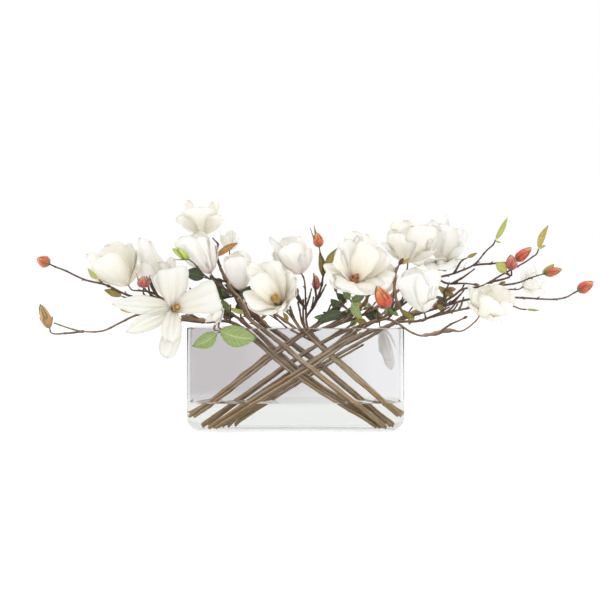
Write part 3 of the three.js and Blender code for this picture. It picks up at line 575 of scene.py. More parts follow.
def clear_paint(name, index, tint, painted_light_low_tint=None):
    """Clear glass or water. It bends what is seen through it, and lets lamps and soft light pass straight.
    The glass is painted lighter low down, as painted light, and greyer towards its left end above, as
    painted shade."""
    paint = Paint(name, 0.0, Transmission_Weight=1.0, IOR=index, Base_Color=colour(tint))
    place = paint.node("TexCoord", "Object")
    paint.bump(paint.noise((9.0, 9.0, 14.0), place, 1.0), RIPPLE_MM)
    path = paint.node("LightPath").node
    soft = paint.maths("MAXIMUM", path.outputs["Is Shadow Ray"], path.outputs["Is Diffuse Ray"])
    passing = paint.node("BsdfTransparent", inputs={"Color": colour("ffffff")})
    if painted_light_low_tint:
        across, height = (paint.node("SeparateXYZ", axis, {"Vector": place}) for axis in "XZ")
        # Painted shade greys the glass towards its left end above, and painted light keeps it clearer low
        # down
        painted_shade_tint = paint.mix(paint.part(across, 0.13, -0.1), tint, "d8d6d7")
        paint.set("Base Color", paint.mix(paint.part(height, 0.04, 0.06), painted_light_low_tint, painted_shade_tint))
    both = paint.node("MixShader", inputs={0: soft, 1: paint.shader.outputs[0], 2: passing})
    paint.give(paint.tree.nodes["Material Output"].inputs["Surface"], both)
    return paint.material


# Meshes


class Shape:
    """A mesh in the making, in millimetres, with the painted values that the materials read.

    tone runs from a piece's base to its tip, rim from its middle to its edge, and skin measures the
    surface in millimetres, so that the grain keeps its size and follows the growth.
    """

    def __init__(self):
        self.points, self.skin, self.tone, self.rim, self.faces, self.slots = [], [], [], [], [], []
        self.count = 0

    def add(self, points, faces, skin, tone, rim, slot=0):
        points = np.reshape(points, (-1, 3))
        self.points.append(points)
        self.skin.append(np.broadcast_to(skin, points.shape))
        self.tone.append(np.broadcast_to(tone, len(points)))
        self.rim.append(np.broadcast_to(rim, len(points)))
        self.faces.extend(tuple(int(i) + self.count for i in face) for face in faces)
        self.slots.extend([slot] * len(faces))
        self.count += len(points)

    def build(self, name, paints):
        """The finished mesh object, in metres."""
        mesh = bpy.data.meshes.new(name)
        mesh.from_pydata((np.concatenate(self.points) * MM).tolist(), [], self.faces)
        for paint in paints:
            mesh.materials.append(paint)
        mesh.polygons.foreach_set("material_index", self.slots)
        mesh.polygons.foreach_set("use_smooth", [True] * len(self.faces))
        for label, kind, field, values in (
            ("skin", "FLOAT_VECTOR", "vector", self.skin),
            ("tone", "FLOAT", "value", self.tone),
            ("rim", "FLOAT", "value", self.rim),
        ):
            layer = mesh.attributes.new(label, kind, "POINT")
            layer.data.foreach_set(field, np.concatenate(values).astype(np.float32).ravel())
        mesh.update()
        piece = bpy.data.objects.new(name, mesh)
        bpy.context.scene.collection.objects.link(piece)
        return piece


def settle(piece, node):
    """The piece rides on the vase's body and stands for its node."""
    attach(piece, "root")
    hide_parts(node)


def quads(index, around=False):
    """The four-sided faces of a grid of point numbers, closed sideways where it goes around."""
    left = index if around else index[:, :-1]
    right = np.roll(index, -1, axis=1) if around else index[:, 1:]
    return np.stack([left[:-1], right[:-1], right[1:], left[1:]], axis=-1).reshape(-1, 4)


def sheet(shape, points, thickness, skin, tone, rim, slot=0):
    """A closed blade over a grid of points, thickest in its middle and thin at its edges."""
    rows, columns = points.shape[:2]
    normals = np.cross(np.gradient(points, axis=1), np.gradient(points, axis=0))
    normals /= np.linalg.norm(normals, axis=2, keepdims=True) + 1e-9
    body = np.outer(1 - np.linspace(-1, 1, rows) ** 10, 1 - np.linspace(-1, 1, columns) ** 8)
    lift = normals * (thickness / 2 * body)[..., None]
    top = np.arange(rows * columns).reshape(rows, columns)
    under = top.copy()
    inner = (slice(1, -1), slice(1, -1))
    under[inner] = rows * columns + np.arange((rows - 2) * (columns - 2)).reshape(rows - 2, columns - 2)

    def both(values):
        values = np.broadcast_to(values, (rows, columns, *np.shape(values)[2:]))
        ends = (-1, *values.shape[2:])
        return np.concatenate([values.reshape(ends), values[inner].reshape(ends)])

    upper = (points + lift).reshape(-1, 3)
    lower = (points - lift)[inner].reshape(-1, 3)
    faces = np.concatenate([quads(top), quads(under)[:, ::-1]])
    shape.add(np.concatenate([upper, lower]), faces, both(skin), both(tone), both(rim), slot)


def runs(path):
    """How far along the path each of its points lies."""
    steps = np.linalg.norm(np.diff(path, axis=0), axis=1)
    return np.concatenate([[0], np.cumsum(steps)])


def directions(path):
    """The unit tangents at the path's points."""
    along = np.gradient(path, axis=0)
    return along / np.linalg.norm(along, axis=1, keepdims=True)


def tube(shape, path, radii, sides, tone, rim=None, slot=0, lumps=None):
    """A closed round rod along a path. Lumps is a grid of shares that swell or sink its skin. Without a
    rim of its own, its rim runs from 0 where the skin looks up to 1 where it looks down: the bark paint
    turns that into painted light on top and painted shade below."""
    path = np.asarray(path, float)
    count = len(path)
    radii = np.broadcast_to(radii, count).astype(float)
    along = directions(path)
    start = [0.3, 0.9, 0.2] if abs(along[0][1]) < 0.8 else [1.0, 0.2, 0.1]
    normal = unit(np.cross(along[0], start))
    angles = np.linspace(0, 2 * math.pi, sides, endpoint=False)
    run = runs(path)
    rings, skins, downs = [], [], []
    for step in range(count):
        normal = unit(normal - along[step] * normal.dot(along[step]))
        binormal = np.cross(along[step], normal)
        radius = radii[step] * (1 if lumps is None else lumps[step])
        sideways, upwards = radius * np.cos(angles), radius * np.sin(angles)
        rings.append(path[step] + np.outer(sideways, normal) + np.outer(upwards, binormal))
        skins.append(np.stack([sideways, upwards, np.full(sides, run[step])], axis=1))
        downs.append(0.5 - 0.5 * (np.cos(angles) * normal[2] + np.sin(angles) * binormal[2]))
    index = np.arange(count * sides).reshape(count, sides)
    first, last = count * sides, count * sides + 1
    caps = [(first, index[0, (s + 1) % sides], index[0, s]) for s in range(sides)]
    caps += [(last, index[-1, s], index[-1, (s + 1) % sides]) for s in range(sides)]
    points = np.concatenate([*rings, path[:1], path[-1:]])
    skin = np.concatenate([*skins, [[0, 0, 0]], [[0, 0, run[-1]]]])
    tones = np.broadcast_to(tone, count)
    tones = np.concatenate([np.repeat(tones, sides), [tones[0], tones[-1]]])
    rim = np.concatenate([*downs, [0.5, 0.5]]) if rim is None else rim
    shape.add(points, [*quads(index, True), *caps], skin, tones, rim, slot)


def bezier(handles, shares):
    """Points of the curve with four handles."""
    a, b, c, d = (np.array(h, float) for h in handles)
    t = np.asarray(shares)[:, None]
    return (1 - t) ** 3 * a + 3 * t * (1 - t) ** 2 * b + 3 * t * t * (1 - t) * c + t**3 * d


SPAN_STEPS = 16


def through(points):
    """A centripetal curve through the points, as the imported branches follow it."""
    points = [np.array(p, float) for p in points]
    points = [2 * points[0] - points[1], *points, 2 * points[-1] - points[-2]]
    line = []
    for p0, p1, p2, p3 in zip(points, points[1:], points[2:], points[3:]):
        d0, d1, d2 = (math.sqrt(np.linalg.norm(b - a)) for a, b in ((p0, p1), (p1, p2), (p2, p3)))
        m1 = ((p1 - p0) / d0 - (p2 - p0) / (d0 + d1) + (p2 - p1) / d1) * d1
        m2 = ((p2 - p1) / d1 - (p3 - p1) / (d1 + d2) + (p3 - p2) / d2) * d1
        cubic = 2 * p1 - 2 * p2 + m1 + m2
        square = -3 * p1 + 3 * p2 - 2 * m1 - m2
        for step in range(SPAN_STEPS):
            t = step / SPAN_STEPS
            line.append(p1 + m1 * t + square * t * t + cubic * t**3)
    return np.array([*line, points[-2]])


def spaced(line, step):
    """The line again, with points an even step apart."""
    run = runs(line)
    places = np.linspace(0, run[-1], max(3, int(run[-1] / step) + 1))
    return np.stack([np.interp(places, run, line[:, axis]) for axis in range(3)], axis=1)


def waves(rng, first, second, count, highest):
    """A smooth random field over two shares, from a few seeded waves."""
    field = 0
    for _ in range(count):
        turn = first * rng.uniform(-highest, highest) + second * rng.uniform(-highest, highest)
        field = field + np.sin(2 * math.pi * turn + rng.uniform(0, 2 * math.pi))
    return field / count


# Petals and blooms

SLOT_PETAL, SLOT_BRACT, SLOT_STAMEN, SLOT_CARPEL = range(4)
SLOT_SCALE, SLOT_SEPAL = range(2)
CARPELS = 30
STAMENS = 40
BROWN_SCALES = 3
BROWN_SCALE_WIDTH = 8

# Blooms with a narrower mouth than this have shallower waves in their petals
FULL_MOUTH = 60

# How the smaller kinds of petal are shaped, in petal()'s words
BROWN_SCALE = dict(
    cup=(1.1, 0.6), flip=0, ruffle=0.2, crumple=0.3, claw=0.4, widest=0.45, point=0.6, thickness=0.7,
    rows=9, columns=9, slot=SLOT_BRACT,
)
BUD_SCALE = dict(
    cup=(1.15, 0.9), flip=0.02, ruffle=0.15, crumple=0.2, claw=0.4, widest=0.42, point=0.7, thickness=0.6,
    rows=14, columns=11, slot=SLOT_SCALE,
)
SEPAL = dict(
    cup=(1.2, 0.5), flip=0.1, ruffle=0.3, crumple=0.5, claw=0.5, widest=0.38, point=1.0, thickness=0.7,
    rows=14, columns=9, slot=SLOT_SEPAL,
)


class Stand:
    """Where a head stands: its base, its axis, its length, and the ways to the viewer and to the right."""

    def __init__(self, base, tip):
        self.base, tip = seen(base), seen(tip)
        self.length = np.linalg.norm(tip - self.base)
        self.axis = (tip - self.base) / self.length
        viewer = np.array([0.0, -1.0, 0.0])
        self.front = unit(viewer - self.axis * viewer.dot(self.axis))
        self.right = np.cross(self.axis, self.front)

    def outwards(self, turn):
        return self.front * math.cos(turn) + self.right * math.sin(turn)


def outline(shares, claw, widest, point):
    """A petal's half width along its length, as a share of the greatest."""
    low = claw + (1 - claw) * np.sin(math.pi / 2 * np.clip(shares / widest, 0, 1)) ** 1.25
    left = np.clip((shares - widest) / (1 - widest), 0, 1)
    high = (1 - left ** (3.0 - 1.5 * point)) ** (0.5 + 0.45 * point)
    return np.where(shares < widest, low, high)


def petal(
    shape, rng, stand, out, handles, width, cup, flip, ruffle, crumple, claw, widest, point, slot,
    thickness=0.9, rows=22, columns=17, pleat=0.0, shift=0.0,
):
    """One petal, sepal or scale. Its handles are (out from the axis, up the axis). Cup is the half angle
    that it wraps, at its foot and at its tip, and flip turns its edges out. Ruffle waves its edges, crumple
    its face and pleat its lengthwise folds, in millimetres. Claw is its width at the foot, widest how far up
    it is widest, and shift how far it leans sideways, as shares of its size."""
    t = 1 - (1 - np.linspace(0, 1, rows)) ** 1.4
    t[-2] = 0.5 * t[-2] + 0.5 * (1 - 0.012)
    u = np.concatenate([[-1], np.linspace(-0.97, 0.97, columns - 2), [1]])
    middle = bezier(handles, t)
    slope = directions(middle)
    side = np.cross(stand.axis, out)
    spine = stand.base + np.outer(middle[:, 0], out) + np.outer(middle[:, 1], stand.axis)
    inwards = np.outer(-slope[:, 1], out) + np.outer(slope[:, 0], stand.axis)
    half = np.maximum(width / 2 * outline(t, claw, widest, point), 0.03 * width)
    left, right = (half * (1 + 0.09 * waves(rng, t, 0, 4, 3.5)) for _ in range(2))
    halves = np.where(u < 0, left[:, None], right[:, None])
    wrap = cup[0] + (cup[1] - cup[0]) * t**0.8
    lean = shift * width * np.sin(math.pi * t / 2) ** 2
    angle = np.outer(wrap, u)
    sideways = halves * np.sin(angle) / np.sin(wrap)[:, None] + lean[:, None]
    lift = half[:, None] * (1 - np.cos(angle)) / np.sin(wrap)[:, None]
    tt, uu = np.meshgrid(t, u, indexing="ij")
    upper = np.clip((tt - 0.25) / 0.75, 0, 1) ** 1.3
    lift = lift - flip * half[:, None] * np.abs(uu) ** 3 * upper
    for sign in (-1, 1):
        edge = np.clip(sign * uu, 0, 1) ** 2.2
        swing = np.sin(2 * math.pi * (rng.uniform(1.2, 2.6) * tt + rng.random()))
        lift = lift + ruffle * edge * upper * swing
    lift = lift + crumple * upper * waves(rng, uu, tt, 4, 1.3)
    lift = lift + pleat * np.sin(math.pi * (3.3 * uu + rng.random())) * np.sin(math.pi * tt) * (1 - uu * uu)
    lift = lift + 0.35 * np.exp(-((uu / 0.1) ** 2)) * np.minimum(half, 8)[:, None] / 8 * (1 - tt)
    points = spine[:, None] + sideways[..., None] * side + lift[..., None] * inwards[:, None]
    across = uu * half[:, None] * 0.6 + uu * width * 0.2
    skin = np.stack([across, tt * runs(spine)[-1], np.full_like(uu, 40 * rng.random())], -1)
    reach = np.maximum(np.abs(uu), np.clip((tt - 0.55) / 0.45, 0, 1) ** 2.5)
    sheet(shape, points, thickness, skin, tt, reach, slot)


def tipped_petal(shape, rng, stand, row, **looks):
    """A petal whose tip is read off the elevation. It swells out from the axis and bows along it."""
    across, up, depth, width, swell, bow, point = row
    way = seen((across, up, depth)) - stand.base
    high = way.dot(stand.axis)
    flat = way - high * stand.axis
    reach = np.linalg.norm(flat)
    handles = [
        (1.5, 0),
        (0.3 * reach + swell, 0.14 * high + bow),
        (0.78 * reach + 0.75 * swell, 0.74 * high + 0.9 * bow),
        (reach, high),
    ]
    widest = 0.52 + 0.24 * (1 - point) ** 2
    petal(shape, rng, stand, flat / reach, handles, width, point=point, widest=widest, **looks)


def golden(step):
    return step * math.radians(137.508)


def strand(shape, stand, size, out, foot, steps, radii, tone, slot):
    """A carpel or a stamen. From its foot, each step is (out, up) as shares of the heart's size."""
    path = [foot]
    for away, up in steps:
        path.append(path[-1] + (out * away + stand.axis * up) * size)
    tube(shape, path, np.array(radii) * size, 5, tone, 0, slot)


def heart(shape, stand, size, lift):
    """The middle of a bloom: a stalk, a cone of hooked carpels, and stamens round its foot."""
    axis = stand.axis
    tube(shape, [stand.base, stand.base + axis * (lift + 0.3 * size)], 0.24 * size, 10, 0, 0, SLOT_CARPEL)
    base = stand.base + axis * lift
    cone = size * 1.1
    path = [base + axis * h for h in (-0.2, 0.15 * cone, 0.45 * cone, 0.8 * cone, cone)]
    tube(shape, path, np.array([0.2, 0.26, 0.22, 0.15, 0.03]) * size, 10, 0.2, 0, SLOT_CARPEL)
    for number in range(CARPELS):
        share = number / CARPELS
        out = stand.outwards(golden(number))
        foot = base + axis * cone * (0.4 + 0.58 * share) + out * 0.18 * size * (1 - 0.75 * share)
        steps = [(0.12, 0.06), (-0.02, 0.13)]
        strand(shape, stand, size, out, foot, steps, (0.04, 0.03, 0.012), 0.5 + 0.5 * share, SLOT_CARPEL)
    for number in range(STAMENS):
        share = number / STAMENS
        out = stand.outwards(golden(number) + 0.3)
        foot = base + axis * cone * (0.1 + 0.25 * share) + out * 0.22 * size
        steps = [(0.28 - 0.1 * share, 0.22), (-0.03, 0.28)]
        strand(shape, stand, size, out, foot, steps, (0.025, 0.045, 0.01), [0, 0.6, 1], SLOT_STAMEN)


def bracts(shape, rng, stand, length):
    """The receptacle under a bloom, and the brown scales that once wrapped the bud."""
    path = [stand.base + stand.axis * h for h in (-SEAT_GAP, 1.2, 3.2, 5.5)]
    tube(shape, path, [1.9, 3.0, 3.3, 2.2], 12, [0, 0.2, 0.4, 0.6], 0, SLOT_BRACT)
    for number in range(BROWN_SCALES):
        out = stand.outwards(math.radians(40 + 360 / BROWN_SCALES * number + rng.uniform(-20, 20)))
        handles = [(1.2, 0), (4.5, 0.1 * length), (4.8, 0.6 * length), (6.5, length * rng.uniform(0.8, 1))]
        petal(shape, rng, stand, out, handles, BROWN_SCALE_WIDTH, **BROWN_SCALE)


# Hearts that show: their size, how far up the axis they stand, and the paints of stamens and carpels
HEARTS = {
    "bloom_8": (14, 19, "stamen", "carpel"),
    "bloom_10": (14, 4, "flame_stamen", "flame_stamen"),
    "bloom_3": (13, 6, "carpel", "stamen"),
}
PLAIN_HEART = (12, 0, "stamen", "carpel")


def bloom(name, paints):
    """A bloom: its petals, its heart, its receptacle and the scales that wrapped it."""
    base, tip, width, kind, rows = BLOOMS[name]
    rng = random.Random(name)
    stand = Stand(base, tip)
    shape = Shape()
    share = min(1.0, width / FULL_MOUTH)
    crumple, pleat = (3.6, 2.4) if name == "bloom_3" else (2.0, 1.0)
    looks = {
        "ruffle": 2.2 * share, "crumple": crumple * share, "pleat": pleat * share,
        "claw": 0.24 if kind == "peach" else 0.3, "slot": SLOT_PETAL,
    }
    for row in rows:
        swell = row[4]
        cup = (1.1, 0.6) if swell > 8 else (0.95, 0.5)
        shift = rng.uniform(-0.05, 0.05)
        tipped_petal(shape, rng, stand, row, cup=cup, shift=shift, flip=rng.uniform(0.05, 0.5), **looks)
    size, lift, stamens, carpels = HEARTS.get(name, PLAIN_HEART)
    heart(shape, stand, size, lift)
    bracts(shape, rng, stand, 0.16 * width + 4)
    skins = [paints[part] for part in (kind, "bract", stamens, carpels)]
    piece = shape.build(name.replace("bloom", "magnolia"), skins)
    settle(piece, name)


# Buds and leaves

BUD_SCALES = 5


def bud(name, paints):
    """A closed bud: overlapping scales wound round a core, with sepals at its foot."""
    base, tip, width, kind, sepals = BUDS[name]
    rng = random.Random(name)
    stand = Stand(base, tip)
    shape = Shape()
    length, half = stand.length, width / 2
    core = [(0.3 * half, 0), (1.2 * half, 0.15 * length), (0.95 * half, 0.75 * length), (0.1, 0.97 * length)]
    radii, heights = bezier(core, np.linspace(0, 1, 12)).T
    tube(shape, stand.base + np.outer(heights, stand.axis), radii, 14, heights / length)
    for number in range(BUD_SCALES):
        grown = 1 + 0.015 * (BUD_SCALES - number)
        rise = length * (0.8 + 0.05 * number)
        handles = [
            (0.34 * half, 0),
            (1.27 * half * grown, 0.15 * rise),
            (1.02 * half * grown, 0.76 * rise),
            (half * (0.22 - 0.04 * number), rise),
        ]
        out = stand.outwards(math.radians(35 + 137.5 * number))
        petal(shape, rng, stand, out, handles, 1.75 * half, **BUD_SCALE)
    for azimuth, reach, wide, lean in sepals:
        turn = math.radians(lean)
        away, up = reach * math.sin(turn), reach * math.cos(turn)
        handles = [
            (1.4, -0.6),
            (0.75 * half, 0.05 * length),
            (0.7 * half + 0.5 * away, 0.6 * up),
            (0.6 * half + away, up),
        ]
        petal(shape, rng, stand, stand.outwards(math.radians(azimuth)), handles, wide, **SEPAL)
    path = [stand.base + stand.axis * h for h in (-SEAT_GAP, 0.8, 2.0)]
    tube(shape, path, [1.6, 2.3, 1.5], 10, 0.1, 0, SLOT_SEPAL)
    sepal_paint = paints["lime_scale" if kind == "lime" else "sepal"]
    piece = shape.build(name.replace("bud", "flower_bud"), [paints[kind], sepal_paint])
    settle(piece, name)


BLADE_ROWS = 28
BLADE_COLUMNS = 17
MIDRIB_ROWS = 22


def blade(name, base, tip, width, faces, paint):
    """A leaf blade with a sunk midrib, raised side veins and a short stalk."""
    rng = random.Random(name)
    length = np.linalg.norm(tip - base)
    along = (tip - base) / length
    across = unit(np.cross(along, faces))
    up = np.cross(across, along)
    t = np.linspace(0, 1, BLADE_ROWS)
    u = np.concatenate([[-1], np.linspace(-0.96, 0.96, BLADE_COLUMNS - 2), [1]])
    tt, uu = np.meshgrid(t, u, indexing="ij")
    wide = width / 2 * np.maximum(np.sin(math.pi * t**0.9) ** 0.75, 0.06) * (1 - 0.25 * t**3)
    bow = -0.07 * length * np.sin(math.pi * tt) + 0.03 * length * tt**2
    fold = 0.22 * np.abs(uu) * wide[:, None] * (1 - 0.5 * tt)
    quilt = 0.022 * width * np.sin(50 * tt - 12 * np.abs(uu)) * np.sin(math.pi * np.abs(uu))
    edge = 0.05 * width * np.abs(uu) ** 3 * waves(rng, tt, uu * 0.4, 3, 2.5)
    bend = 0.06 * length * math.copysign(1, rng.random() - 0.5) * np.sin(math.pi * t)
    lift = bow + fold + quilt + edge
    sideways = uu * wide[:, None] + bend[:, None]
    points = base + tt[..., None] * length * along + sideways[..., None] * across + lift[..., None] * up
    skin = np.stack([uu * wide[:, None], tt * length, np.zeros_like(tt)], -1)
    shape = Shape()
    sheet(shape, points, 0.7, skin, tt, np.abs(uu))
    spine = points[:, BLADE_COLUMNS // 2]
    midrib = spine[:MIDRIB_ROWS] - up * 0.25
    tube(shape, midrib, np.linspace(0.75, 0.25, MIDRIB_ROWS), 6, t[:MIDRIB_ROWS], 0.03)
    stalk = [base - along * SEAT_GAP, base + along * 1.5, spine[2] - up * 0.2]
    tube(shape, stalk, [1.0, 0.9, 0.6], 8, 0.0, 0.03)
    return shape.build(name, [paint])


def leaf(name, paints):
    base, tip, width, faces, kind = LEAVES[name]
    paint, slot = paints[kind]
    piece = blade(name.replace("leaf", "leaf_blade"), seen(base), seen(tip), width, faces, paint)
    settle(piece, name)


def sprig_leaf(number, row, shoots, paints):
    """A small leaf that grows from the nearest shoot, where the elevation shows it."""
    foot_across, foot_up, tip_across, tip_up, width, kind = row
    rng = random.Random(number)
    share = (EYE_DISTANCE + shoots[:, 1]) / EYE_DISTANCE
    across = EYE_X + (shoots[:, 0] - EYE_X) / share
    up = EYE_Z + (shoots[:, 2] - EYE_Z) / share
    base = shoots[np.argmin(np.hypot(across - foot_across, up - foot_up))]
    tip = seen((tip_across, tip_up, base[1] + rng.uniform(-6, 6)))
    faces = (rng.uniform(-0.4, 0.4), -1, rng.uniform(0, 0.7))
    paint, slot = paints[kind]
    piece = blade(f"sprig_leaf_{number}", base, tip, width, faces, paint)
    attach(piece, "root")


# Branches

SLOT_BARK, SLOT_BUD, SLOT_WOOD = range(3)
NODE_GAPS = (16, 34)
MATES = 2
MOST_SPURS = 11
TWIG_SHADE = 0.12

# The tangle above the rim: it starts and ends this far over the rim, and reaches this far to each side
TANGLE_LOW = 8
TANGLE_HIGH = 75
TANGLE_REACH = 270


def darkness(points):
    """Bark darkens from the part that stands in the vase to the twigs above its rim."""
    return np.clip((points[:, 2] - 80) / 220, 0, 1)


def grow(shape, rng, line, foot_radius, tip_radius, shade):
    """One shoot: it bends a little at each node, swells there, and bears small side buds above the rim.
    Shade makes its bark darker than its height does."""
    line = spaced(line, 2.0)
    run = runs(line)
    total = run[-1]
    along = directions(line)
    places = [0.0]
    while places[-1] < total:
        places.append(places[-1] + rng.uniform(*NODE_GAPS))
    bends = np.array([(-1) ** i * rng.uniform(0.3, 1.0) for i in range(len(places))])
    swing = np.interp(run, places, bends) * np.clip(np.minimum(run, total - run) / 30, 0, 1)
    sideways = np.cross(along, unit(np.array([rng.uniform(-1, 1), rng.uniform(-1, 1), 0.4])))
    line = line + sideways * swing[:, None]
    radii = tip_radius + (foot_radius - tip_radius) * (1 - (run / total) ** 1.5)
    radii = radii * (1 - 0.12 * np.exp(-((run / 12) ** 2)))
    radii = radii * (1 + 0.05 * np.interp(run, places, [rng.uniform(-1, 1) for _ in places]))
    for place in places[1:-1]:
        radii = radii + 0.42 * np.exp(-(((run - place) / 1.7) ** 2))
    sides = 10 if foot_radius > 2.5 else 8
    angles = np.linspace(0, 1, sides, endpoint=False)
    ridges = waves(rng, run[:, None] / 60, np.round(angles * 3)[None] / 3, 5, 3.0)
    tone = np.clip(darkness(line) + shade, 0, 1)
    tube(shape, line, radii, sides, tone, None, SLOT_BARK, 1 + 0.06 * ridges)
    for number, place in enumerate(places[1:-1]):
        step = int(np.searchsorted(run, place))
        clear = place > 12 and total - place > 16 and line[step][2] > VASE_HEIGHT + TANGLE_LOW
        if not clear or rng.random() < 0.35:
            continue
        turn = number * math.pi + rng.uniform(-0.7, 0.7)
        first = unit(np.cross(along[step], [0.1, 1, 0.2]))
        second = np.cross(along[step], first)
        out = first * math.cos(turn) + second * math.sin(turn)
        way = unit(along[step] * 0.75 + out * 0.65)
        length = rng.uniform(3.5, 6.5)
        shares = np.linspace(0, 1, 6)
        path = line[step] + out * radii[step] * 0.5 + np.outer(shares * length, way)
        swell = np.array([0.8, 1.2, 1.25, 1.0, 0.6, 0.12]) * rng.uniform(0.75, 1.0)
        tube(shape, path, swell, 7, shares, rng.random(), SLOT_BUD)
    return line


def winter_bud(shape, rng, line, radius):
    """A plump downy bud at a shoot's end."""
    way = unit(line[-1] - line[-3])
    shares = np.linspace(0, 1, 9)
    path = line[-1] + np.outer((shares * 3.3 - 1.6) * radius, way)
    profile = np.sin(math.pi * (0.06 + 0.92 * shares)) ** 0.7
    tube(shape, path, profile * radius * 0.92, 10, shares, rng.random(), SLOT_BUD)


def mates(shape, rng, line):
    """Shorter shoots cut with the stem. Each stands beside it in the vase and ends a little above the rim."""
    for _ in range(MATES):
        inwards = -math.copysign(1, line[0][0])
        shift = np.array([inwards * rng.uniform(4, 12), rng.uniform(-11, 11), rng.uniform(0, 3)])
        clear = (line[:, 2] > VASE_HEIGHT + rng.uniform(8, 70)) | (inwards * line[:, 0] > 100)
        count = int(np.argmax(clear)) or int(0.8 * len(line))
        shares = np.linspace(0, 1, count)
        drift = [inwards * rng.uniform(-14, 10), rng.uniform(-8, 8), rng.uniform(-2, 12)]
        mate = line[:count] + shift + np.outer(shares**3, drift)
        mate = grow(shape, rng, mate, 0.8 * STEM_RADIUS, 0.5 * STEM_RADIUS, 0.05)
        winter_bud(shape, rng, mate, 2.2)


def spurs(shape, rng, line):
    """Short side shoots that crowd the branches just above the rim. None ends in a bloom."""
    blooms = [((seen(row[0]) + seen(row[1])) / 2, 0.5 * row[2] + 14) for row in BLOOMS.values()]
    above = line[:, 2] - VASE_HEIGHT
    inside = (above > TANGLE_LOW) & (above < TANGLE_HIGH) & (np.abs(line[:, 0]) < TANGLE_REACH)
    places = np.flatnonzero(inside[2:-2]) + 2
    for _ in range(min(MOST_SPURS, len(places) // 5)):
        place = places[rng.randrange(len(places))]
        along = unit(line[place + 1] - line[place - 1])
        lean = np.array([rng.uniform(-0.8, 0.8), rng.uniform(-0.8, 0.8), rng.uniform(0.1, 0.8)])
        first = unit(along + lean)
        second = unit(first + [0, 0, rng.uniform(0.1, 0.7)])
        length = rng.uniform(12, 46)
        middle = line[place] + first * length * 0.5
        end = middle + second * length * 0.5
        if any(np.linalg.norm(end - bloom_middle) < reach for bloom_middle, reach in blooms):
            continue
        spur = through([line[place], middle, end])
        spur = grow(shape, rng, spur, rng.uniform(1.5, 2.4), 1.0, TWIG_SHADE)
        winter_bud(shape, rng, spur, 1.7)


def route_line(points, head, heads):
    """The curve through the points, and on to the neck of the head that it carries."""
    neck = []
    if head:
        base, tip = (seen(p) for p in heads[head])
        axis = unit(tip - base)
        neck = [base - axis * NECK, base - axis * SEAT_GAP]
    return through([*points, *neck])


def branch(name, heads, paints):
    """A cut branch: its stem, its twigs with a collar where each forks, and its winter buds."""
    row = BRANCHES[name]
    rng = random.Random(name)
    shape = Shape()
    line = route_line([row["foot"], *(seen(p) for p in row["route"])], row["head"], heads)
    grown = [grow(shape, rng, line, STEM_RADIUS, STEM_TIP_RADIUS, 0.0)]
    mates(shape, rng, line)
    for side in row["twigs"]:
        places = [seen(p) for p in side["route"]]
        known = np.concatenate([done[:-4] for done in grown])
        fork = known[np.argmin(np.linalg.norm(known - places[0], axis=1))]
        line = route_line([fork, *places[1:]], side["head"], heads)
        line = grow(shape, rng, line, TWIG_RADIUS, TWIG_TIP_RADIUS, TWIG_SHADE)
        grown.append(line)
        collar = spaced(line[:5], 1.2)
        tube(shape, collar, np.linspace(2.7, 1.7, len(collar)), 9, darkness(collar), None, SLOT_BARK)
        if "bud" in side:
            winter_bud(shape, rng, line, side["bud"])
    spurs(shape, rng, np.concatenate(grown))
    foot, onward = grown[0][0], unit(grown[0][0] - grown[0][1])
    tube(shape, [foot - onward * 0.1, foot + onward * 0.05], STEM_RADIUS * 0.85, 12, 0, 0, SLOT_WOOD)
    for _, radius, route in (burr for burr in BURRS if burr[0] == name):
        path = spaced(through([seen(p) for p in route]), 2.0)
        shares = np.linspace(0, 1, len(path))
        knots = radius * (0.84 + 0.16 * np.sin(runs(path) / 3.2)) * (1 - np.abs(2 * shares - 1) ** 6)
        tube(shape, path, knots + 0.2, 12, 0.3 + 0.15 * shares, None, SLOT_BARK)
    piece = shape.build(name.replace("branch", "stem"), paints)
    settle(piece, name)
    return grown


# The vase and the water

CORNER_STEPS = 14
FOOT_STEPS = 10
RIM_STEPS = 6
MENISCUS = 0.8
MENISCUS_STEPS = 5


def rounded_ring(inset, height):
    """A rounded rectangle at one height, set in from the vase's outside."""
    radius = CORNER_RADIUS - inset
    points = []
    for sign_x, sign_y, turn in ((1, 1, 0), (-1, 1, 1), (-1, -1, 2), (1, -1, 3)):
        for step in range(CORNER_STEPS + 1):
            angle = (turn + step / CORNER_STEPS) * math.pi / 2
            x = sign_x * (VASE_LENGTH / 2 - CORNER_RADIUS) + radius * math.cos(angle)
            y = sign_y * (VASE_DEPTH / 2 - CORNER_RADIUS) + radius * math.sin(angle)
            points.append((x, y, height))
    return points


def foot_rings(inset, bottom, radius):
    """Rings up a rounded foot, from the flat bottom to the upright wall."""
    rings = []
    for step in range(FOOT_STEPS + 1):
        angle = step / FOOT_STEPS * math.pi / 2
        away, rise = radius * (1 - math.sin(angle)), radius * (1 - math.cos(angle))
        rings.append(rounded_ring(inset + away, bottom + rise))
    return rings


def loft(name, rings, paint):
    """A closed skin through rings, with a flat face over the first and the last."""
    shape = Shape()
    rings = np.array(rings, float)
    count, around = rings.shape[:2]
    index = np.arange(count * around).reshape(count, around)
    faces = [*quads(index, True), tuple(index[0][::-1]), tuple(index[-1])]
    shape.add(rings, faces, 0.0, 0.0, 0.0)
    return shape.build(name, [paint])


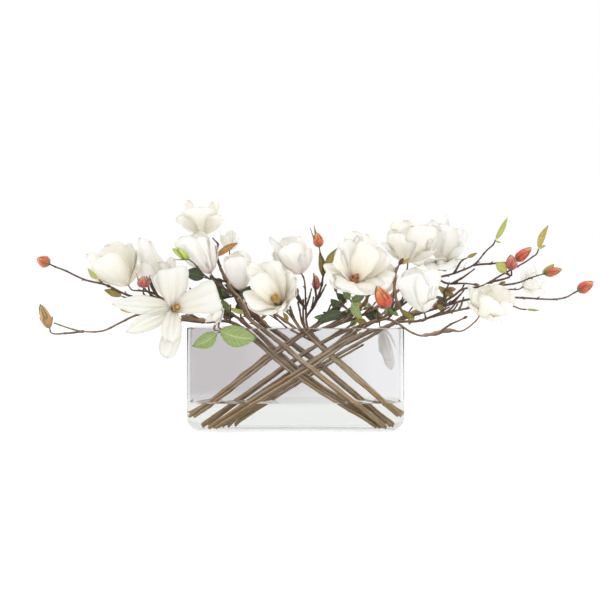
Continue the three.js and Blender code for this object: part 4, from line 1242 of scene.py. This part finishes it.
def vase(paint):
    """Up the outside, over the round rim, and down the inside to the floor."""
    outside = foot_rings(0, 0, FOOT_RADIUS)
    inside = foot_rings(GLASS_THICKNESS, VASE_FLOOR, FOOT_RADIUS - GLASS_THICKNESS)
    rounding = GLASS_THICKNESS / 2
    rim = []
    for step in range(RIM_STEPS + 1):
        angle = step / RIM_STEPS * math.pi
        height = VASE_HEIGHT - rounding * (1 - math.sin(angle))
        rim.append(rounded_ring(rounding * (1 - math.cos(angle)), height))
    outer_wall = rounded_ring(0, VASE_HEIGHT / 2)
    inner_wall = rounded_ring(GLASS_THICKNESS, VASE_HEIGHT / 2)
    piece = loft("glass_vase", [*outside, outer_wall, *rim, inner_wall, *inside[::-1]], paint)
    settle(piece, "vase")


def water(paint):
    """The water reaches a hair into the glass, so that no air shows between them, and climbs it a little.
    Close rings keep its top edge crisp."""
    inset = GLASS_THICKNESS - 0.2
    rings = foot_rings(inset, VASE_FLOOR - 0.2, FOOT_RADIUS - inset)
    rings += [rounded_ring(inset, WATER_LEVEL + height) for height in (-0.3, 0.3 * MENISCUS, MENISCUS)]
    for step in range(1, MENISCUS_STEPS + 1):
        share = step / MENISCUS_STEPS
        rings.append(rounded_ring(inset + 4.5 * share, WATER_LEVEL + MENISCUS * (1 - share) ** 2))
    settle(loft("water_body", rings, paint), "water")


# The stage: the light from all round, and the lamps as (name, place, size, watts), in metres

WORLD_LIGHT = 1.03
LAMPS = [
    ("key", (-1.6, -1.8, 2.2), 1.6, 8),
    ("fill", (1.8, -1.6, 1.2), 1.8, 7),
    ("back", (0.8, 1.8, 1.8), 1.6, 4),
]
LAMP_AIM = (0, 0, 0.2)


def place_new(name, data):
    holder = bpy.data.objects.new(name, data)
    bpy.context.scene.collection.objects.link(holder)
    return holder


def pale_floor():
    paint = Paint("pale_floor", 0.9, Emission_Color=colour("ffffff"), Emission_Strength=0.74)
    grain = paint.noise((3.0, 3.0, 3.0), paint.node("TexCoord", "Object"), 2.0)
    paint.set("Base Color", paint.ramp(grain, (0.0, "9e9e9e"), (1.0, "a2a2a2")))
    bpy.ops.mesh.primitive_plane_add(size=24, location=(0, 4, 0))
    floor = bpy.context.object
    floor.name = "floor"
    floor.data.materials.append(paint.material)


def soft_light():
    """Even light from all round, which the camera itself sees as plain white."""
    world = bpy.data.worlds.new("studio")
    world.use_nodes = True
    bpy.context.scene.world = world
    tree = world.node_tree
    background = tree.nodes["Background"]
    path = tree.nodes.new("ShaderNodeLightPath")
    strength = tree.nodes.new("ShaderNodeMapRange")
    strength.inputs["To Min"].default_value = WORLD_LIGHT
    strength.inputs["To Max"].default_value = 1.0
    tree.links.new(path.outputs["Is Camera Ray"], strength.inputs["Value"])
    tree.links.new(strength.outputs[0], background.inputs["Strength"])
    background.inputs["Color"].default_value = (1, 1, 1, 1)


def lamps():
    for label, place, size, power in LAMPS:
        lamp = bpy.data.lights.new(label, "AREA")
        lamp.size = size
        lamp.energy = power
        holder = place_new(label, lamp)
        holder.location = place
        holder.rotation_euler = (Vector(LAMP_AIM) - Vector(place)).to_track_quat("-Z", "Y").to_euler()


def camera():
    lens = bpy.data.cameras.new("camera")
    lens.lens = LENS_MM
    lens.sensor_width = SENSOR_MM
    holder = place_new("camera", lens)
    holder.location = (EYE_X * MM, -EYE_DISTANCE * MM, EYE_Z * MM)
    holder.rotation_euler = (math.pi / 2, 0, 0)
    bpy.context.scene.camera = holder
    bpy.context.scene.view_settings.view_transform = "Standard"


# A petal's colours are foot, blush, body and tip, and those of scales, sepals, stamens and carpels run from
# base to tip. A leaf has body, edge and vein, and the record's material slot.
PETAL_PAINTS = {
    "white": ("f8e8c4", "fdf6e4", "fefbf2", "fffefa"),
    "cream": ("f6dfa8", "fbf1d3", "fbf6e5", "fdfbf2"),
    # A greyer copy of the white petal paint: painted shade that tones down the open star, which faces the
    # lamps
    "pale": ("e8d6ba", "ece7db", "eae9e0", "ecece6"),
    "rose": ("eeb0a4", "fde4da", "fef8f2", "fffdf8"),
    # A whiter copy of the white petal paint: painted light for bloom_18, which hangs behind the vase
    "bright": ("f9ece0", "fffaf6", "ffffff", "ffffff"),
    "peach": ("f2b08a", "fde3ca", "fef9ea", "fffdf5"),
}
SCALE_PAINTS = {
    "bract": ("6b5132", "7a5a3a", "8f7350"),
    "stamen": ("e39a6a", "eeb56c", "f2cf7a"),
    "carpel": ("d8cc6a", "e2c964", "e9b45c"),
    "flame_stamen": ("d9743f", "e8945a", "f0b070"),
    "winter": ("5a3a26", "7b5a34", "9c8846"),
    "sepal": ("4a5a2a", "65753a", "8f9650"),
    "lime_scale": ("8fae3a", "b9d24c", "d7e37a"),
    "orange": ("7d6a30", "cc5a2c", "d8703c", "ecb868"),
    "olive": ("7a8440", "c98a56", "c7a45f", "b59d4d"),
    "rose_bud": ("6a3a2a", "bf4848", "cc665a", "dca878"),
    "lime": ("93b23c", "b4cf45", "dbe67c"),
    "flame": ("8c4c28", "d04a28", "de6136", "f0b86c"),
}
LEAF_PAINTS = {
    "spring": ("9aae69", "7d9950", "c3cf9a", "green_leaves"),
    "olive": ("a28e40", "6f6a34", "c6b871", "green_leaves"),
    "yellow": ("e0bf55", "c9943a", "efdc96", "yellow_leaves"),
    "lime": ("bfc15f", "98a84a", "dfe0a4", "green_leaves"),
    "dark": ("3f4c2b", "2c361f", "66744a", "dark_leaves"),
    "fern": ("6f8a4f", "4d6238", "a3b47e", "green_leaves"),
    "gold": ("c9b24e", "8f8534", "e2d592", "yellow_leaves"),
    "amber": ("c98f4a", "8a5a2e", "dcb27a", "yellow_leaves"),
}


def main():
    petals = {kind: petal_paint("petal_" + kind, *codes) for kind, codes in PETAL_PAINTS.items()}
    scales = {kind: scale_paint("scale_" + kind, *codes) for kind, codes in SCALE_PAINTS.items()}
    leaves = {kind: (leaf_paint("leaf_" + kind, *row[:3]), row[3]) for kind, row in LEAF_PAINTS.items()}
    wood = [bark_paint(), scales["winter"], scales["carpel"]]
    heads = {name: row[:2] for name, row in {**BLOOMS, **BUDS, **LEAVES}.items()}
    pale_floor()
    soft_light()
    lamps()
    camera()
    # The glass's second tint is painted light: it makes the glass clearer low down
    vase(clear_paint("clear_glass", GLASS_INDEX, "ededee", "f0f1f0"))
    water(clear_paint("water", WATER_INDEX, "fafaf9"))
    shoots = np.concatenate([line for name in BRANCHES for line in branch(name, heads, wood)])
    for name in BLOOMS:
        bloom(name, {**scales, **petals})
    for name in BUDS:
        bud(name, scales)
    for name in LEAVES:
        leaf(name, leaves)
    for number, row in enumerate(SPRIG_LEAVES, 1):
        sprig_leaf(number, row, shoots, leaves)


main()
